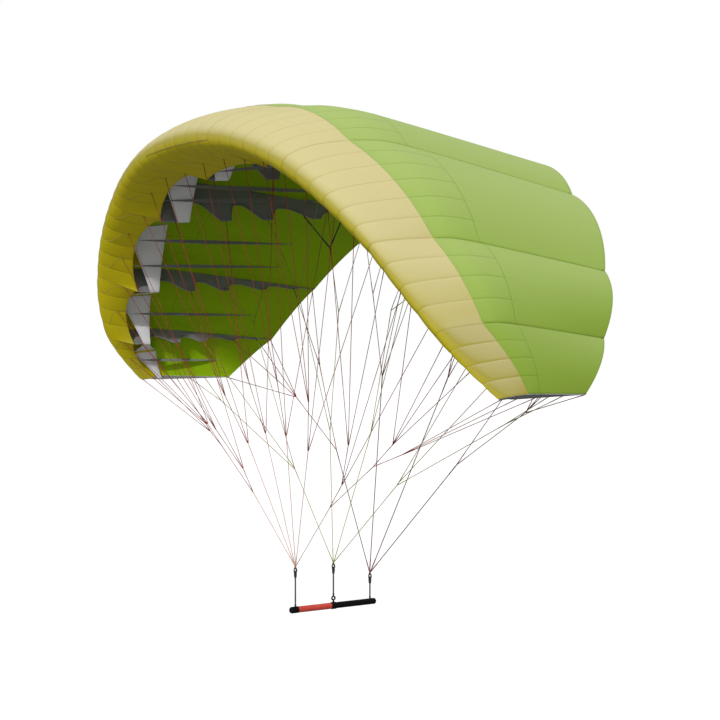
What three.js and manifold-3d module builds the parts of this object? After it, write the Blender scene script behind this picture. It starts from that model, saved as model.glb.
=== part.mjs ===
// Parawing in flight: a single-skin arched canopy with a closed nose, its ribs
// and diagonal straps, a cascade of bridle lines, and a short hand bar.
// Millimetres, +Z up. X runs across the span, Y runs from the nose to the
// trailing edge, and the origin is the middle of the hand bar.
import * as THREE from 'three';
import { mergeVertices } from 'three/addons/utils/BufferGeometryUtils.js';
import Module from 'manifold-3d';

const wasm = await Module();
wasm.setup();

// ---------------------------------------------------------------- sizes (mm)
const CLOTH = 1.5; // thickness of every sheet
const GAP = 0.4; // clearance between neighbouring pieces
const EDGE = 0.25; // each panel stops this far short of its rib plane
const STRAP = 1.3; // thickness of the diagonal straps
const LINE_D = 2; // upper bridle lines
const MAIN_D = 2.4; // main bridle lines
const HEAVY_D = 6; // the heavy lines of the V under the inner ribs
const CROWN_AT = 0.25; // fraction of the chord where a section is highest
const CROWN_EASE = 0.1; // how softly the crown turns into the straight rear
const LIP_POWER = 1.5; // roundness of the lower nose
const ROUND = 45; // how widely the cloth rounds the front edge
const BILLOW_NOSE = 0.035; // outward belly of a cell, as a share of its width
const BILLOW_REAR = 0.095;
const BILLOW_FULL_AT = 0.4; // chord fraction where the belly is full
const SCALLOP = 0.06; // how far the trailing edge swells back between ribs
const LOW_MID = 0.045; // height of the lower nose skin between ribs
const REACH_IN = { 0: 0.52, 1: 0.44, 2: 0.455, 3: 0.52, tip: 0.52 }; // how far into the inner cell a diagonal strap runs, by rib
const REACH_OUT = 0.44; // and into the outer cell

// ------------------------------------------------------------- section table
// One row for each rib of the right half, from the centre out. nose* is the
// front end of the chord line and tail* its rear end, tilt leans the section
// out (deg). crown and brow are heights over the chord line as shares of the
// chord; lip is where the lower nose skin ends, seam where the nose skin meets
// the upper skin, both along the chord; prow is how far the nose stands ahead
// and bulge how far its underside fills out, as a share of the chord; power is
// the fullness of the upper nose.
const RIBS = [
  { name: '0', noseX: 279, noseY: -741, noseZ: 1872, tailX: 261, tailY: 861, tailZ: 1980, tilt: 12, crown: 0.155, brow: 0.06, lip: 0.16, seam: 0.19, prow: 50, bulge: 0.018, power: 2.5 },
  { name: '1', noseX: 751.5, noseY: -691.5, noseZ: 1723.5, tailX: 684, tailY: 798, tailZ: 1813.5, tilt: 30, crown: 0.155, brow: 0.076, lip: 0.13, seam: 0.175, prow: 44, bulge: 0.012, power: 2.4 },
  { name: '2', noseX: 1156.5, noseY: -588, noseZ: 1415.5, tailX: 1147.5, tailY: 573, tailZ: 1457, tilt: 47, crown: 0.155, brow: 0.125, lip: 0.13, seam: 0.205, prow: 50, bulge: 0, power: 2.1 },
  { name: '3', noseX: 1404, noseY: -471, noseZ: 1156.5, tailX: 1325, tailY: 410, tailZ: 1189.5, tilt: 55, crown: 0.155, brow: 0.1, lip: 0.13, seam: 0.195, prow: 28, bulge: 0.012, power: 1.8 },
  { name: 'tip', noseX: 1534.5, noseY: -255, noseZ: 976.5, tailX: 1449, tailY: 212, tailZ: 984.5, tilt: 62, crown: 0.07, brow: -0.005, lip: 0.13, seam: 0.27, prow: 22, bulge: 0.028, power: 1.6 },
];
// What a cell has of its own, by its outer rib: its share of the belly and of
// the tail scallop, how far its front and its lip round out (mm), and the
// height of its lip over the chord line.
const SWELL = {
  4: { swell: 1, scallop: 1, bow: 12, draw: 26, low: 0.045 },
  3: { swell: 1, scallop: 1, bow: 12, draw: 36, low: 0.045 },
  2: { swell: 0.97, scallop: 0.62, bow: 6, draw: 52, low: 0.04 },
  1: { swell: 1.3, scallop: 0.5, bow: 5, draw: 24, low: 0.045 },
  0: { swell: 1, scallop: 0.8, bow: 4, draw: 0, low: 0.012 },
};
// Chord shares of the feet of each rib, front to rear, and of its rear corner,
// and half the width of each foot. Between two feet the free edge of the rib
// rises to a share of the height there.
const FEET = {
  0: [0.178, 0.365, 0.53, 0.72, 0.885, 0.985],
  1: [0.178, 0.354, 0.503, 0.684, 0.86, 0.985],
  2: [0.178, 0.377, 0.542, 0.732, 0.89, 0.985],
  3: [0.178, 0.391, 0.556, 0.746, 0.9, 0.985],
  tip: [0.19, 0.4, 0.55, 0.72, 0.85, 0.985],
};
const FOOT_HALF = [0.04, 0.02, 0.018, 0.016, 0.012];
const FLARE_RISE = 0.46, LAST_RISE = 0.3;
const TAIL_EDGE = 1.2; // height left at the rear end of a rib
// Cells from the left tip to the right tip; bays is the number of small nose
// bays between their two ribs.
const CELLS = [
  { name: 'l4', left: 'l_tip', right: 'l3', bays: 4 },
  { name: 'l3', left: 'l3', right: 'l2', bays: 4 },
  { name: 'l2', left: 'l2', right: 'l1', bays: 6 },
  { name: 'l1', left: 'l1', right: 'l0', bays: 6 },
  { name: 'centre', left: 'l0', right: 'r0', bays: 6 },
  { name: 'r1', left: 'r0', right: 'r1', bays: 6 },
  { name: 'r2', left: 'r1', right: 'r2', bays: 6 },
  { name: 'r3', left: 'r2', right: 'r3', bays: 4 },
  { name: 'r4', left: 'r3', right: 'r_tip', bays: 4 },
];
const RIB_ORDER = ['l_tip', 'l3', 'l2', 'l1', 'l0', 'r0', 'r1', 'r2', 'r3', 'r_tip'];

// ------------------------------------------------------------------ colours
const GREEN = 0x9db95f;
const YELLOW = 0xd3c98a;
const DARK = 0x3c3c3f;
const PALE = 0x9b9b9d;
const BLACK = 0x141414;
const RED = 0xc8483a;
const STEEL = 0x8d8d8a;
const SALMON = 0xd79a86;
const LIME = 0xc3c873;
const MAUVE = 0xb08586;
const ROPE = 0x5a5a5c;

const group = new THREE.Group();
function place(name, geometry, color, roughness = 0.7, metalness = 0) {
  const mesh = new THREE.Mesh(geometry, new THREE.MeshStandardMaterial({ color, roughness, metalness }));
  mesh.name = name;
  group.add(mesh);
  return mesh;
}

// ----------------------------------------------------------------- sections
const mix = (a, b, t) => a + (b - a) * t;
const smooth = (x) => { const s = Math.min(1, Math.max(0, x)); return s * s * (3 - 2 * s); };

function ribRow(id) {
  const side = id[0] === 'l' ? -1 : 1;
  const key = id.endsWith('tip') ? 'tip' : id[1];
  const r = RIBS.find((row) => row.name === key);
  return {
    nose: new THREE.Vector3(side * r.noseX, r.noseY, r.noseZ),
    tail: new THREE.Vector3(side * r.tailX, r.tailY, r.tailZ),
    tilt: side * r.tilt, crown: r.crown, brow: r.brow, lip: r.lip, seam: r.seam, prow: r.prow, bulge: r.bulge, power: r.power,
  };
}
const ribKey = (id) => (id.endsWith('tip') ? 'tip' : id[1]);

// The section at share t of the way across a cell: a plane with the chord
// direction d, the outward direction n and the span direction m.
function section(left, right, t) {
  const a = ribRow(left), b = ribRow(right);
  const outer = left[0] !== right[0] ? 0 : Math.max(...[left, right].map((id) => (id.endsWith('tip') ? 4 : Number(id[1]))));
  const own = SWELL[outer];
  const belly = 4 * t * (1 - t);
  const s = {
    nose: a.nose.clone().lerp(b.nose, t), tail: a.tail.clone().lerp(b.tail, t),
    crown: mix(a.crown, b.crown, t), brow: mix(a.brow, b.brow, t),
    lip: mix(a.lip, b.lip, t), seam: mix(a.seam, b.seam, t),
    belly, swell: own.swell, scallop: own.scallop, low: own.low, draw: own.draw * belly,
    prow: mix(a.prow, b.prow, t) + own.bow * belly, bulge: mix(a.bulge, b.bulge, t), power: mix(a.power, b.power, t),
    width: a.nose.clone().add(a.tail).sub(b.nose).sub(b.tail).multiplyScalar(0.5).length(),
  };
  const tilt = THREE.MathUtils.degToRad(mix(a.tilt, b.tilt, t));
  s.d = s.tail.clone().sub(s.nose);
  s.chord = s.d.length();
  s.d.normalize();
  s.n = new THREE.Vector3(Math.sin(tilt), 0, Math.cos(tilt));
  s.n.addScaledVector(s.d, -s.n.dot(s.d)).normalize();
  s.m = s.d.clone().cross(s.n).normalize();
  return s;
}

function upperHeight(s, u) {
  if (u < CROWN_AT) {
    const x = (CROWN_AT - u) / CROWN_AT;
    return s.brow + (s.crown - s.brow) * Math.pow(Math.max(0, 1 - Math.pow(x, s.power)), 1 / s.power);
  }
  const x = (u - CROWN_AT) / (1 - CROWN_AT);
  return s.crown * (1 - (1 + CROWN_EASE) * x * x / (x + CROWN_EASE));
}
function lowerHeight(s, u) {
  const x = Math.max(0, (s.lip - u) / s.lip);
  const roundIn = 1 - Math.pow(Math.max(0, 1 - Math.pow(x, LIP_POWER)), 1 / LIP_POWER);
  const mid = LOW_MID + (s.brow - LOW_MID) * (0.6 * roundIn + 0.4 * x * x);
  return mid + (mix(0, s.low, Math.sqrt(s.belly)) - LOW_MID) * Math.pow(1 - x, 2.5);
}
const billow = (u) => mix(BILLOW_NOSE, BILLOW_REAR, smooth(u / BILLOW_FULL_AT));

// Position in the section's own plane, [along the chord, out from it].
function upper2(s, u) {
  const front = s.prow * Math.pow(Math.max(0, 1 - u / s.seam), 1.4);
  return [
    u * s.chord + s.scallop * SCALLOP * s.width * s.belly * u * u - front,
    upperHeight(s, u) * s.chord + s.swell * billow(u) * s.width * s.belly,
  ];
}
function lower2(s, u) {
  const q = Math.min(1, u / s.lip);
  const full = s.bulge * s.chord * Math.sin(Math.PI * Math.pow(q, 0.75));
  return [
    u * s.chord - s.prow * (1 - q) - s.draw * q - 0.8 * full,
    lowerHeight(s, u) * s.chord + s.swell * BILLOW_NOSE * s.width * s.belly - 0.6 * full,
  ];
}
function at(s, p, off = 0) {
  return s.nose.clone().addScaledVector(s.d, p[0]).addScaledVector(s.n, p[1]).addScaledVector(s.m, off);
}

// --------------------------------------------------------------- sheet maker
// columns[j] is a list of [outer, inner] point pairs along one section.
function sheet(columns) {
  const nj = columns.length, ni = columns[0].length;
  const pos = [];
  for (const side of [0, 1]) for (const col of columns) for (const pair of col) pos.push(...pair[side].toArray());
  const id = (side, j, i) => side * nj * ni + j * ni + i;
  const tri = [];
  const quad = (a, b, c, d) => tri.push(a, b, c, a, c, d);
  for (let j = 0; j < nj - 1; j++) for (let i = 0; i < ni - 1; i++) {
    quad(id(0, j, i), id(0, j + 1, i), id(0, j + 1, i + 1), id(0, j, i + 1));
    quad(id(1, j, i), id(1, j, i + 1), id(1, j + 1, i + 1), id(1, j + 1, i));
  }
  for (let j = 0; j < nj - 1; j++) {
    quad(id(0, j + 1, 0), id(0, j, 0), id(1, j, 0), id(1, j + 1, 0));
    quad(id(0, j, ni - 1), id(0, j + 1, ni - 1), id(1, j + 1, ni - 1), id(1, j, ni - 1));
  }
  for (let i = 0; i < ni - 1; i++) {
    quad(id(0, 0, i), id(0, 0, i + 1), id(1, 0, i + 1), id(1, 0, i));
    quad(id(0, nj - 1, i + 1), id(0, nj - 1, i), id(1, nj - 1, i), id(1, nj - 1, i + 1));
  }
  const g = new THREE.BufferGeometry();
  g.setAttribute('position', new THREE.Float32BufferAttribute(pos, 3));
  g.setIndex(tri);
  return facingOut(g);
}
// Turns a closed geometry inside out if its faces point in.
function facingOut(g) {
  const p = g.attributes.position, ix = g.index.array;
  const a = new THREE.Vector3(), b = new THREE.Vector3(), c = new THREE.Vector3();
  let volume = 0;
  for (let k = 0; k < ix.length; k += 3) {
    a.fromBufferAttribute(p, ix[k]); b.fromBufferAttribute(p, ix[k + 1]); c.fromBufferAttribute(p, ix[k + 2]);
    volume += a.dot(b.cross(c));
  }
  if (volume < 0) for (let k = 0; k < ix.length; k += 3) { const t = ix[k]; ix[k] = ix[k + 1]; ix[k + 1] = t; }
  g.computeVertexNormals();
  return g;
}
// Offsets a curve of a section inwards in its own plane by the cloth.
function pairs(s, curve, off, turn) {
  return curve.map((p, i) => {
    const q = curve[Math.max(0, i - 1)], r = curve[Math.min(curve.length - 1, i + 1)];
    const tx = r[0] - q[0], ty = r[1] - q[1], len = Math.hypot(tx, ty);
    const inner = [p[0] + turn * CLOTH * ty / len, p[1] - turn * CLOTH * tx / len];
    return [at(s, p, off), at(s, inner, off)];
  });
}

// ------------------------------------------------------------------ canopy
const REAR_STOPS = [0, 0.07, 0.16, 0.28, 0.42, 0.58, 0.78, 1];
const LINE_STOP = 0.72; // the front lines are sewn on at this share of the lower nose skin
const NOSE_ROWS = 52; // the nose is drawn with this many rows and then rounded
const NOSE_PICK = [0, 8, 15, 20, 24, 27, 30, 33, 36, 40, 45, 51]; // the rows that the facets keep

// The nose skin from the top seam round the front to the lower lip.
function noseCurve(s) {
  const raw = [];
  for (let i = 0; i < 90; i++) raw.push(upper2(s, s.seam * Math.pow(1 - i / 89, 2)));
  for (let i = 1; i < 60; i++) raw.push(lower2(s, s.lip * Math.pow(i / 59, 1.7)));
  const arc = [0];
  for (let i = 1; i < raw.length; i++) arc.push(arc[i - 1] + Math.hypot(raw[i][0] - raw[i - 1][0], raw[i][1] - raw[i - 1][1]));
  let rows = [];
  for (let k = 0, i = 1; k < NOSE_ROWS; k++) {
    const f = arc[arc.length - 1] * k / (NOSE_ROWS - 1);
    while (i < arc.length - 1 && arc[i] < f) i++;
    const q = Math.min(1, (f - arc[i - 1]) / (arc[i] - arc[i - 1]));
    rows.push([mix(raw[i - 1][0], raw[i][0], q), mix(raw[i - 1][1], raw[i][1], q)]);
  }
  for (let r = 0; r < ROUND; r++) {
    rows = rows.map((p, k) => (k === 0 || k === NOSE_ROWS - 1 ? p
      : [0, 1].map((j) => 0.25 * rows[k - 1][j] + 0.5 * p[j] + 0.25 * rows[k + 1][j])));
  }
  return NOSE_PICK.map((k) => rows[k]);
}
const rearU = (s, q) => mix(s.seam, 1, q);
const rearCurve = (s) => REAR_STOPS.map((q) => upper2(s, rearU(s, q)));

for (const cell of CELLS) {
  const noseCols = [], rearCols = [];
  for (let j = 0; j <= cell.bays; j++) {
    const s = section(cell.left, cell.right, j / cell.bays);
    const off = j === 0 ? EDGE : j === cell.bays ? -EDGE : 0;
    const front = noseCurve(s);
    front[0] = [front[0][0] - GAP - 0.3, front[0][1]];
    noseCols.push(pairs(s, front, off, -1));
    rearCols.push(pairs(s, rearCurve(s), off, 1));
  }
  place(`nose_panel_${cell.name}`, sheet(noseCols), YELLOW, 0.6);
  place(`top_panel_${cell.name}`, sheet(rearCols), GREEN, 0.6);
}

// -------------------------------------------------------------------- ribs
// A plate in the plane of a rib, from a closed outline in that plane.
function plate(s, outline, thick, off) {
  const shape = new THREE.Shape(outline.map((p) => new THREE.Vector2(p[0], p[1])));
  const g = new THREE.ExtrudeGeometry(shape, { depth: thick, bevelEnabled: false, steps: 1 });
  g.translate(0, 0, off - thick / 2);
  g.applyMatrix4(new THREE.Matrix4().makeBasis(s.d, s.n, s.m).setPosition(s.nose));
  return g;
}
// The upper edge of a rib, just under the skins, from chord fraction from.
function underSkin(s, from) {
  const front = noseCurve(s);
  let tipAt = 0;
  front.forEach((p, i) => { if (p[0] < front[tipAt][0]) tipAt = i; });
  const curve = [...front.slice(0, tipAt + 1).reverse(), ...rearCurve(s).slice(1)];
  const drop = CLOTH + GAP + 0.2;
  const below = curve.map((p, i) => {
    const q = curve[Math.max(0, i - 1)], r = curve[Math.min(curve.length - 1, i + 1)];
    const tx = r[0] - q[0], ty = r[1] - q[1], len = Math.hypot(tx, ty);
    return [p[0] + drop * ty / len, p[1] - drop * tx / len];
  });
  const out = [];
  const x0 = from * s.chord;
  for (let i = 0; i < below.length; i++) {
    if (below[i][0] < x0) continue;
    if (!out.length && i > 0) {
      const k = (x0 - below[i - 1][0]) / (below[i][0] - below[i - 1][0]);
      out.push([x0, mix(below[i - 1][1], below[i][1], k)]);
    }
    out.push(below[i]);
  }
  return out;
}
const heightOn = (line, x) => {
  for (let i = 1; i < line.length; i++) if (line[i][0] >= x) {
    return mix(line[i - 1][1], line[i][1], (x - line[i - 1][0]) / (line[i][0] - line[i - 1][0]));
  }
  return line[line.length - 1][1];
};
// The free edge between two feet: steep behind the front foot, then a long
// slope down to the next.
function arch(q) {
  const up = Math.min(1, q / 0.24), down = Math.max(0, (q - 0.46) / 0.54);
  return (1 - Math.pow(1 - up, 1.8)) * (1 - Math.pow(down, 1.25));
}
// The two edges of a rib, both from the front back.
function ribEdges(id, s) {
  const top = underSkin(s, s.lip + 0.004);
  // stop the upper edge where it would meet the straight foot line
  const upper = top.filter((p) => p[1] > TAIL_EDGE);
  const a = upper[upper.length - 1], b = top[upper.length];
  const last = [mix(a[0], b[0], (a[1] - TAIL_EDGE) / (a[1] - b[1])), TAIL_EDGE];
  upper.push(last);
  const feet = FEET[ribKey(id)];
  const free = [];
  FOOT_HALF.forEach((half, k) => {
    const x0 = (feet[k] - half) * s.chord, x1 = (feet[k] + half) * s.chord;
    free.push([k === 0 ? top[0][0] : x0, 0], [x1, 0]);
    const next = k + 1 < FOOT_HALF.length;
    const xEnd = next ? (feet[k + 1] - FOOT_HALF[k + 1]) * s.chord : last[0];
    const arcs = next ? 8 : 2;
    for (let i = 1; i < arcs; i++) {
      const x = mix(x1, xEnd, i / arcs);
      free.push([x, heightOn(top, x) * (next ? FLARE_RISE : LAST_RISE) * arch(i / arcs)]);
    }
  });
  free.push([last[0], 0]);
  return { free, upper };
}
for (const id of RIB_ORDER) {
  const tip = id.endsWith('tip');
  const s = section(id, id, 0);
  if (!tip) {
    const { free, upper } = ribEdges(id, s);
    place(`rib_${id}`, plate(s, [...free, ...upper.reverse()], CLOTH, 0), DARK, 0.8);
    continue;
  }
  // the tip rib closes the whole end section, just outside the last panels
  const outline = [...noseCurve(s).reverse(), ...rearCurve(s).slice(1)];
  for (const q of [0.8, 0.4]) outline.push([mix(s.lip, 1, q) * s.chord, -1]);
  const outside = (id[0] === 'l' ? -1 : 1) * Math.sign(s.m.x) * (CLOTH / 2 + GAP);
  place(`rib_${id}`, plate(s, outline.reverse(), CLOTH, outside), DARK, 0.8);
}

// ------------------------------------------------------- diagonal straps
// A strap goes under the front foot of a rib and up on both sides to the
// upper skin of the neighbouring cells.
const STRAP_FOOT = [0.184, 0.226]; // chord fractions at the foot
const STRAP_HEAD = [0.1, 0.262]; // chord fractions at the skin
const STRAP_ROWS = 4;
const HEAD_DROP = 10; // a strap ends this far under the skin, at its seam tape
function strapHead(cellIndex, t, q) {
  const c = CELLS[cellIndex];
  const s = section(c.left, c.right, t);
  const u = mix(STRAP_HEAD[0], STRAP_HEAD[1], q);
  const p = upper2(s, u);
  return at(s, [p[0], p[1] - CLOTH - HEAD_DROP]);
}
function strap(id) {
  const k = RIB_ORDER.indexOf(id);
  const s = section(id, id, 0);
  const stations = [];
  const footAt = (off, q) => at(s, [mix(STRAP_FOOT[0], STRAP_FOOT[1], q) * s.chord, -GAP - STRAP / 2], off);
  // the span direction m points to the left or right; keep stations left to right
  const right = s.m.x > 0 ? 1 : -1;
  const side = id.endsWith('tip') ? 3 : CLOTH / 2 + 1;
  const inner = k === 4 || k === 5; // the middle ribs reach the same way on both sides
  const reachLeft = inner || id[0] === 'l' ? REACH_OUT : REACH_IN[id.replace(/^[lr]_?/, '')];
  const reachRight = inner || id[0] === 'r' ? REACH_OUT : REACH_IN[id.replace(/^[lr]_?/, '')];
  if (k > 0) {
    stations.push((q) => strapHead(k - 1, 1 - reachLeft, q));
    stations.push((q) => footAt(-right * side, q));
  }
  if (k < RIB_ORDER.length - 1) {
    stations.push((q) => footAt(right * side, q));
    stations.push((q) => strapHead(k, reachRight, q));
  }
  const grid = stations.map((f) => {
    const col = [];
    for (let i = 0; i <= STRAP_ROWS; i++) col.push(f(i / STRAP_ROWS));
    return col;
  });
  const columns = grid.map((col, j) => col.map((p, i) => {
    const along = grid[Math.min(grid.length - 1, j + 1)][i].clone().sub(grid[Math.max(0, j - 1)][i]);
    const across = col[Math.min(STRAP_ROWS, i + 1)].clone().sub(col[Math.max(0, i - 1)]);
    const n = along.cross(across).normalize().multiplyScalar(STRAP / 2);
    return [p.clone().add(n), p.clone().sub(n)];
  }));
  return sheet(columns);
}
for (const id of RIB_ORDER) place(`strap_${id}`, strap(id), PALE, 0.8);

// ------------------------------------------------------------ hand bar
const BAR_R = 13.8;
const CAP_R = 14.6;
const BAR_FRONT = -223, BAR_REAR = 223;
const CAP_END = -181, GRIP_END = -12.5, COLLAR_END = 12.5;
const EYE_R = 11.5, EYE_WIRE = 7.2, EYE_Z = 33;
// A turned piece along the bar, from [along, radius] stations.
function turned(stations, sides = 24) {
  const g = new THREE.LatheGeometry(stations.map((p) => new THREE.Vector2(p[1], p[0])), sides);
  return weld(g);
}
// Joins the seam and the poles of a lathe or extrusion.
function weld(g) {
  g.deleteAttribute('normal');
  g.deleteAttribute('uv');
  const w = mergeVertices(g, 1e-4);
  const ix = [];
  const src = w.index.array;
  for (let k = 0; k < src.length; k += 3) {
    if (src[k] !== src[k + 1] && src[k + 1] !== src[k + 2] && src[k] !== src[k + 2]) ix.push(src[k], src[k + 1], src[k + 2]);
  }
  w.setIndex(ix);
  return facingOut(w);
}
const roundEnd = (y, r, dir) => [[y, 0], [y + dir * 1.2, r * 0.45], [y + dir * 4.5, r * 0.8], [y + dir * 10, r]];
place('bar_cap_front', turned([...roundEnd(BAR_FRONT, CAP_R, 1), [CAP_END, CAP_R], [CAP_END, 0]]), BLACK, 0.5);
place('bar_grip_front', turned([[CAP_END + GAP, 0], [CAP_END + GAP, BAR_R], [GRIP_END - GAP, BAR_R], [GRIP_END - GAP, 0]]), RED, 0.6);
place('bar_collar', turned([[GRIP_END, 0], [GRIP_END, CAP_R - 1], [GRIP_END + 2, CAP_R + 1.2], [COLLAR_END - 2, CAP_R + 1.2], [COLLAR_END, CAP_R - 1], [COLLAR_END, 0]]), BLACK, 0.5);
place('bar_grip_rear', turned([[COLLAR_END + GAP, 0], [COLLAR_END + GAP, BAR_R], ...roundEnd(BAR_REAR, BAR_R, -1).reverse()]), BLACK, 0.6);

function solid(g) {
  g.deleteAttribute('normal');
  g.deleteAttribute('uv');
  const w = mergeVertices(g, 1e-4);
  return new wasm.Manifold(new wasm.Mesh({ numProp: 3, vertProperties: new Float32Array(w.attributes.position.array), triVerts: new Uint32Array(w.index.array) }));
}
function geometryOf(m) {
  const mesh = m.getMesh();
  const g = new THREE.BufferGeometry();
  const p = [];
  for (let i = 0; i < mesh.numVert; i++) p.push(...mesh.vertProperties.slice(i * mesh.numProp, i * mesh.numProp + 3));
  g.setAttribute('position', new THREE.Float32BufferAttribute(p, 3));
  g.setIndex(Array.from(mesh.triVerts));
  g.computeVertexNormals();
  return g;
}
// the eye stands on the collar, its hole facing across the bar
{
  const ring = new THREE.TorusGeometry(EYE_R - EYE_WIRE / 2, EYE_WIRE / 2, 6, 16);
  ring.rotateY(Math.PI / 2);
  ring.translate(0, 0, EYE_Z);
  const footZ = CAP_R + 1.2 + GAP;
  const stem = new THREE.CylinderGeometry(3.2, 4.4, EYE_Z - EYE_R + EYE_WIRE / 2 - footZ, 12);
  stem.rotateX(Math.PI / 2);
  stem.translate(0, 0, (EYE_Z - EYE_R + EYE_WIRE / 2 + footZ) / 2);
  place('bar_eye', geometryOf(solid(ring).add(solid(stem))), BLACK, 0.4, 0.4);
}

// Leader: a short rope standing on the bar with a knot under its link.
// y is its place along the bar, foot the height it starts at, link the height
// of the link's middle.
const LEADERS = [
  { name: 'front', y: -194.4, foot: CAP_R, link: 173 },
  { name: 'centre', y: 0, foot: EYE_Z + EYE_R, link: 175 },
  { name: 'rear', y: 192.6, foot: BAR_R, link: 114 },
];
const ROPE_R = 3.6, KNOT_R = 8.2;
const LINK_W = 9.2, LINK_H = 14.5, LINK_WIRE = 2.6; // half width, half height, wire radius
const CONNECT = {};
for (const L of LEADERS) {
  const top = L.link - LINK_H - GAP;
  const g = turned([[L.foot + GAP, 0], [L.foot + GAP, ROPE_R], [top - 19, ROPE_R], [top - 15, KNOT_R * 0.8], [top - 9, KNOT_R], [top - 3.5, KNOT_R * 0.9], [top, KNOT_R * 0.4], [top, 0]], 12);
  g.rotateX(Math.PI / 2);
  g.translate(0, L.y, 0);
  place(`leader_${L.name}`, g, ROPE, 0.8);
  const ring = new THREE.TorusGeometry(LINK_W - LINK_WIRE, LINK_WIRE, 6, 16);
  ring.rotateX(Math.PI / 2);
  const p = ring.attributes.position;
  for (let i = 0; i < p.count; i++) {
    // stretch the round ring into a long link
    p.setZ(i, p.getZ(i) + Math.sign(p.getZ(i)) * (LINK_H - LINK_W) * Math.min(1, Math.abs(p.getZ(i)) / (LINK_W - LINK_WIRE)));
  }
  ring.rotateZ(Math.PI / 2); // its opening faces across the bar
  ring.translate(0, L.y, L.link);
  place(`link_${L.name}`, weld(ring), STEEL, 0.35, 0.8);
  CONNECT[L.name] = new THREE.Vector3(0, L.y, L.link + LINK_H + 3.4);
}

// ------------------------------------------------------------ bridle lines
// A point on the canopy: 'a7' is the front line at nose bay 7 from the middle,
// 'r2c' a foot of a rib, letters b to f from the front foot back, g the rear
// corner, v and w on its free edge; 'tipb' and so on are on the tip rib, with
// 'tipa' under its nose.
const BAY_RIBS = [3, 9, 15, 19, 23];
const V_ENDS = { v: 0.64, w: 0.79 }; // chord shares of the two ends of the V
const V_DROP = 7; // they hang this far under the free edge, on loops
function anchor(id, side) {
  const pre = side < 0 ? 'l' : 'r';
  if (id[0] === 'a') {
    const k = Number(id.slice(1));
    let s;
    if (k <= BAY_RIBS[0]) s = section('l0', 'r0', 0.5 + side * k / (2 * BAY_RIBS[0]));
    else {
      const i = BAY_RIBS.findIndex((b) => b >= k);
      const outer = i === 4 ? `${pre}_tip` : `${pre}${i}`;
      s = section(`${pre}${i - 1}`, outer, (k - BAY_RIBS[i - 1]) / (BAY_RIBS[i] - BAY_RIBS[i - 1]));
    }
    return at(s, onNose(s, lower2(s, LINE_STOP * s.lip), 1.6));
  }
  const tip = id.startsWith('tip');
  const rib = tip ? `${pre}_tip` : `${pre}${id[1]}`;
  const s = section(rib, rib, 0);
  const letter = id[id.length - 1];
  if (letter in V_ENDS) {
    const x = V_ENDS[letter] * s.chord;
    return at(s, [x, heightOn(ribEdges(rib, s).free, x) - V_DROP]);
  }
  const off = tip ? (CLOTH / 2 + GAP) * side * Math.sign(s.m.x) : 0;
  if (id === 'tipa') {
    const p = onNose(s, lower2(s, 0.06), 3);
    return at(s, p, off);
  }
  const k = 'bcdefg'.indexOf(letter);
  const drop = tip ? 2.6 : k === 0 ? GAP + STRAP + 1.4 : 1.4;
  return at(s, [FEET[ribKey(rib)][k] * s.chord, -drop], off);
}
// The place on the facets of the nose skin nearest to p, moved out by off.
function onNose(s, p, off) {
  const c = noseCurve(s);
  let best = Infinity, out = p;
  for (let i = 1; i < c.length; i++) {
    const tx = c[i][0] - c[i - 1][0], ty = c[i][1] - c[i - 1][1], len = Math.hypot(tx, ty);
    const k = Math.min(1, Math.max(0, ((p[0] - c[i - 1][0]) * tx + (p[1] - c[i - 1][1]) * ty) / (len * len)));
    const q = [c[i - 1][0] + k * tx, c[i - 1][1] + k * ty];
    const far = Math.hypot(q[0] - p[0], q[1] - p[1]);
    if (far < best) { best = far; out = [q[0] + off * ty / len, q[1] - off * tx / len]; }
  }
  return out;
}
// Forks of the right half: the link or fork each hangs from, where it is, and
// the points on the canopy that its own lines hold.
const FORKS = {
  fa: { from: 'front', p: [345, -222, 488], held: [] },
  x: { from: 'fa', p: [442, -223, 590], held: ['r2b', 'r2c'] },
  x1: { from: 'x', p: [595, -287, 764], held: ['a15', 'a13', 'a11'] },
  y: { from: 'fa', p: [676, -218, 682], held: [] },
  y1: { from: 'y', p: [819, -222, 777], held: ['a21', 'a19', 'a17', 'r3b', 'r3c'] },
  y2: { from: 'y', p: [849, -194, 740], held: ['tipa', 'tipb', 'tipc'] },
  fb: { from: 'front', p: [272, -286, 720], held: ['r1b', 'r1c'] },
  fb1: { from: 'fb', p: [379, -346, 929], held: ['a9', 'a7', 'a5'] },
  fc: { from: 'front', p: [94, -292, 775], held: ['r0b', 'r0c'] },
  fc1: { from: 'fc', p: [132, -357, 1008], held: ['a3', 'a1'] },
  ca: { from: 'centre', p: [441, 51, 575], held: ['r3d'] },
  ca1: { from: 'ca', p: [1200, 41, 871], held: ['tipd', 'tipe'] },
  ca2: { from: 'ca', p: [1009, 131, 1269], held: ['r2d', 'r2e'] },
  cb: { from: 'centre', p: [174, 86, 772], held: [] },
  cb1: { from: 'cb', p: [222, 162, 1314], held: ['r0e'] },
  cb2: { from: 'cb', p: [465, 84, 1412], held: ['r1d', 'r0d'] },
  cv: { from: 'cb1', p: [705, 402, 1650], held: ['r1v', 'r1w'] },
  ra: { from: 'rear', p: [500, 316, 652], held: [] },
  ra2: { from: 'ra', p: [941, 339, 894], held: ['tipg', 'r3e', 'r3f', 'r3g'] },
  ra3: { from: 'ra', p: [823, 412, 1056], held: ['r2f', 'r2g'] },
  rb: { from: 'rear', p: [268, 433, 1015], held: ['r0f', 'r0g'] },
  rb1: { from: 'rb', p: [520, 540, 1415], held: ['r1f', 'r1g'] },
};
const SPREAD = 2.6; // the two halves leave a link this far either side
const PITCH = 2.3, HEAVY_PITCH = 6.8; // spacing of the lines looped side by side on a fork
const LINE_SIDES = 5;
const LINE_COLORS = { front: SALMON, centre: LIME, rear: MAUVE };

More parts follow.
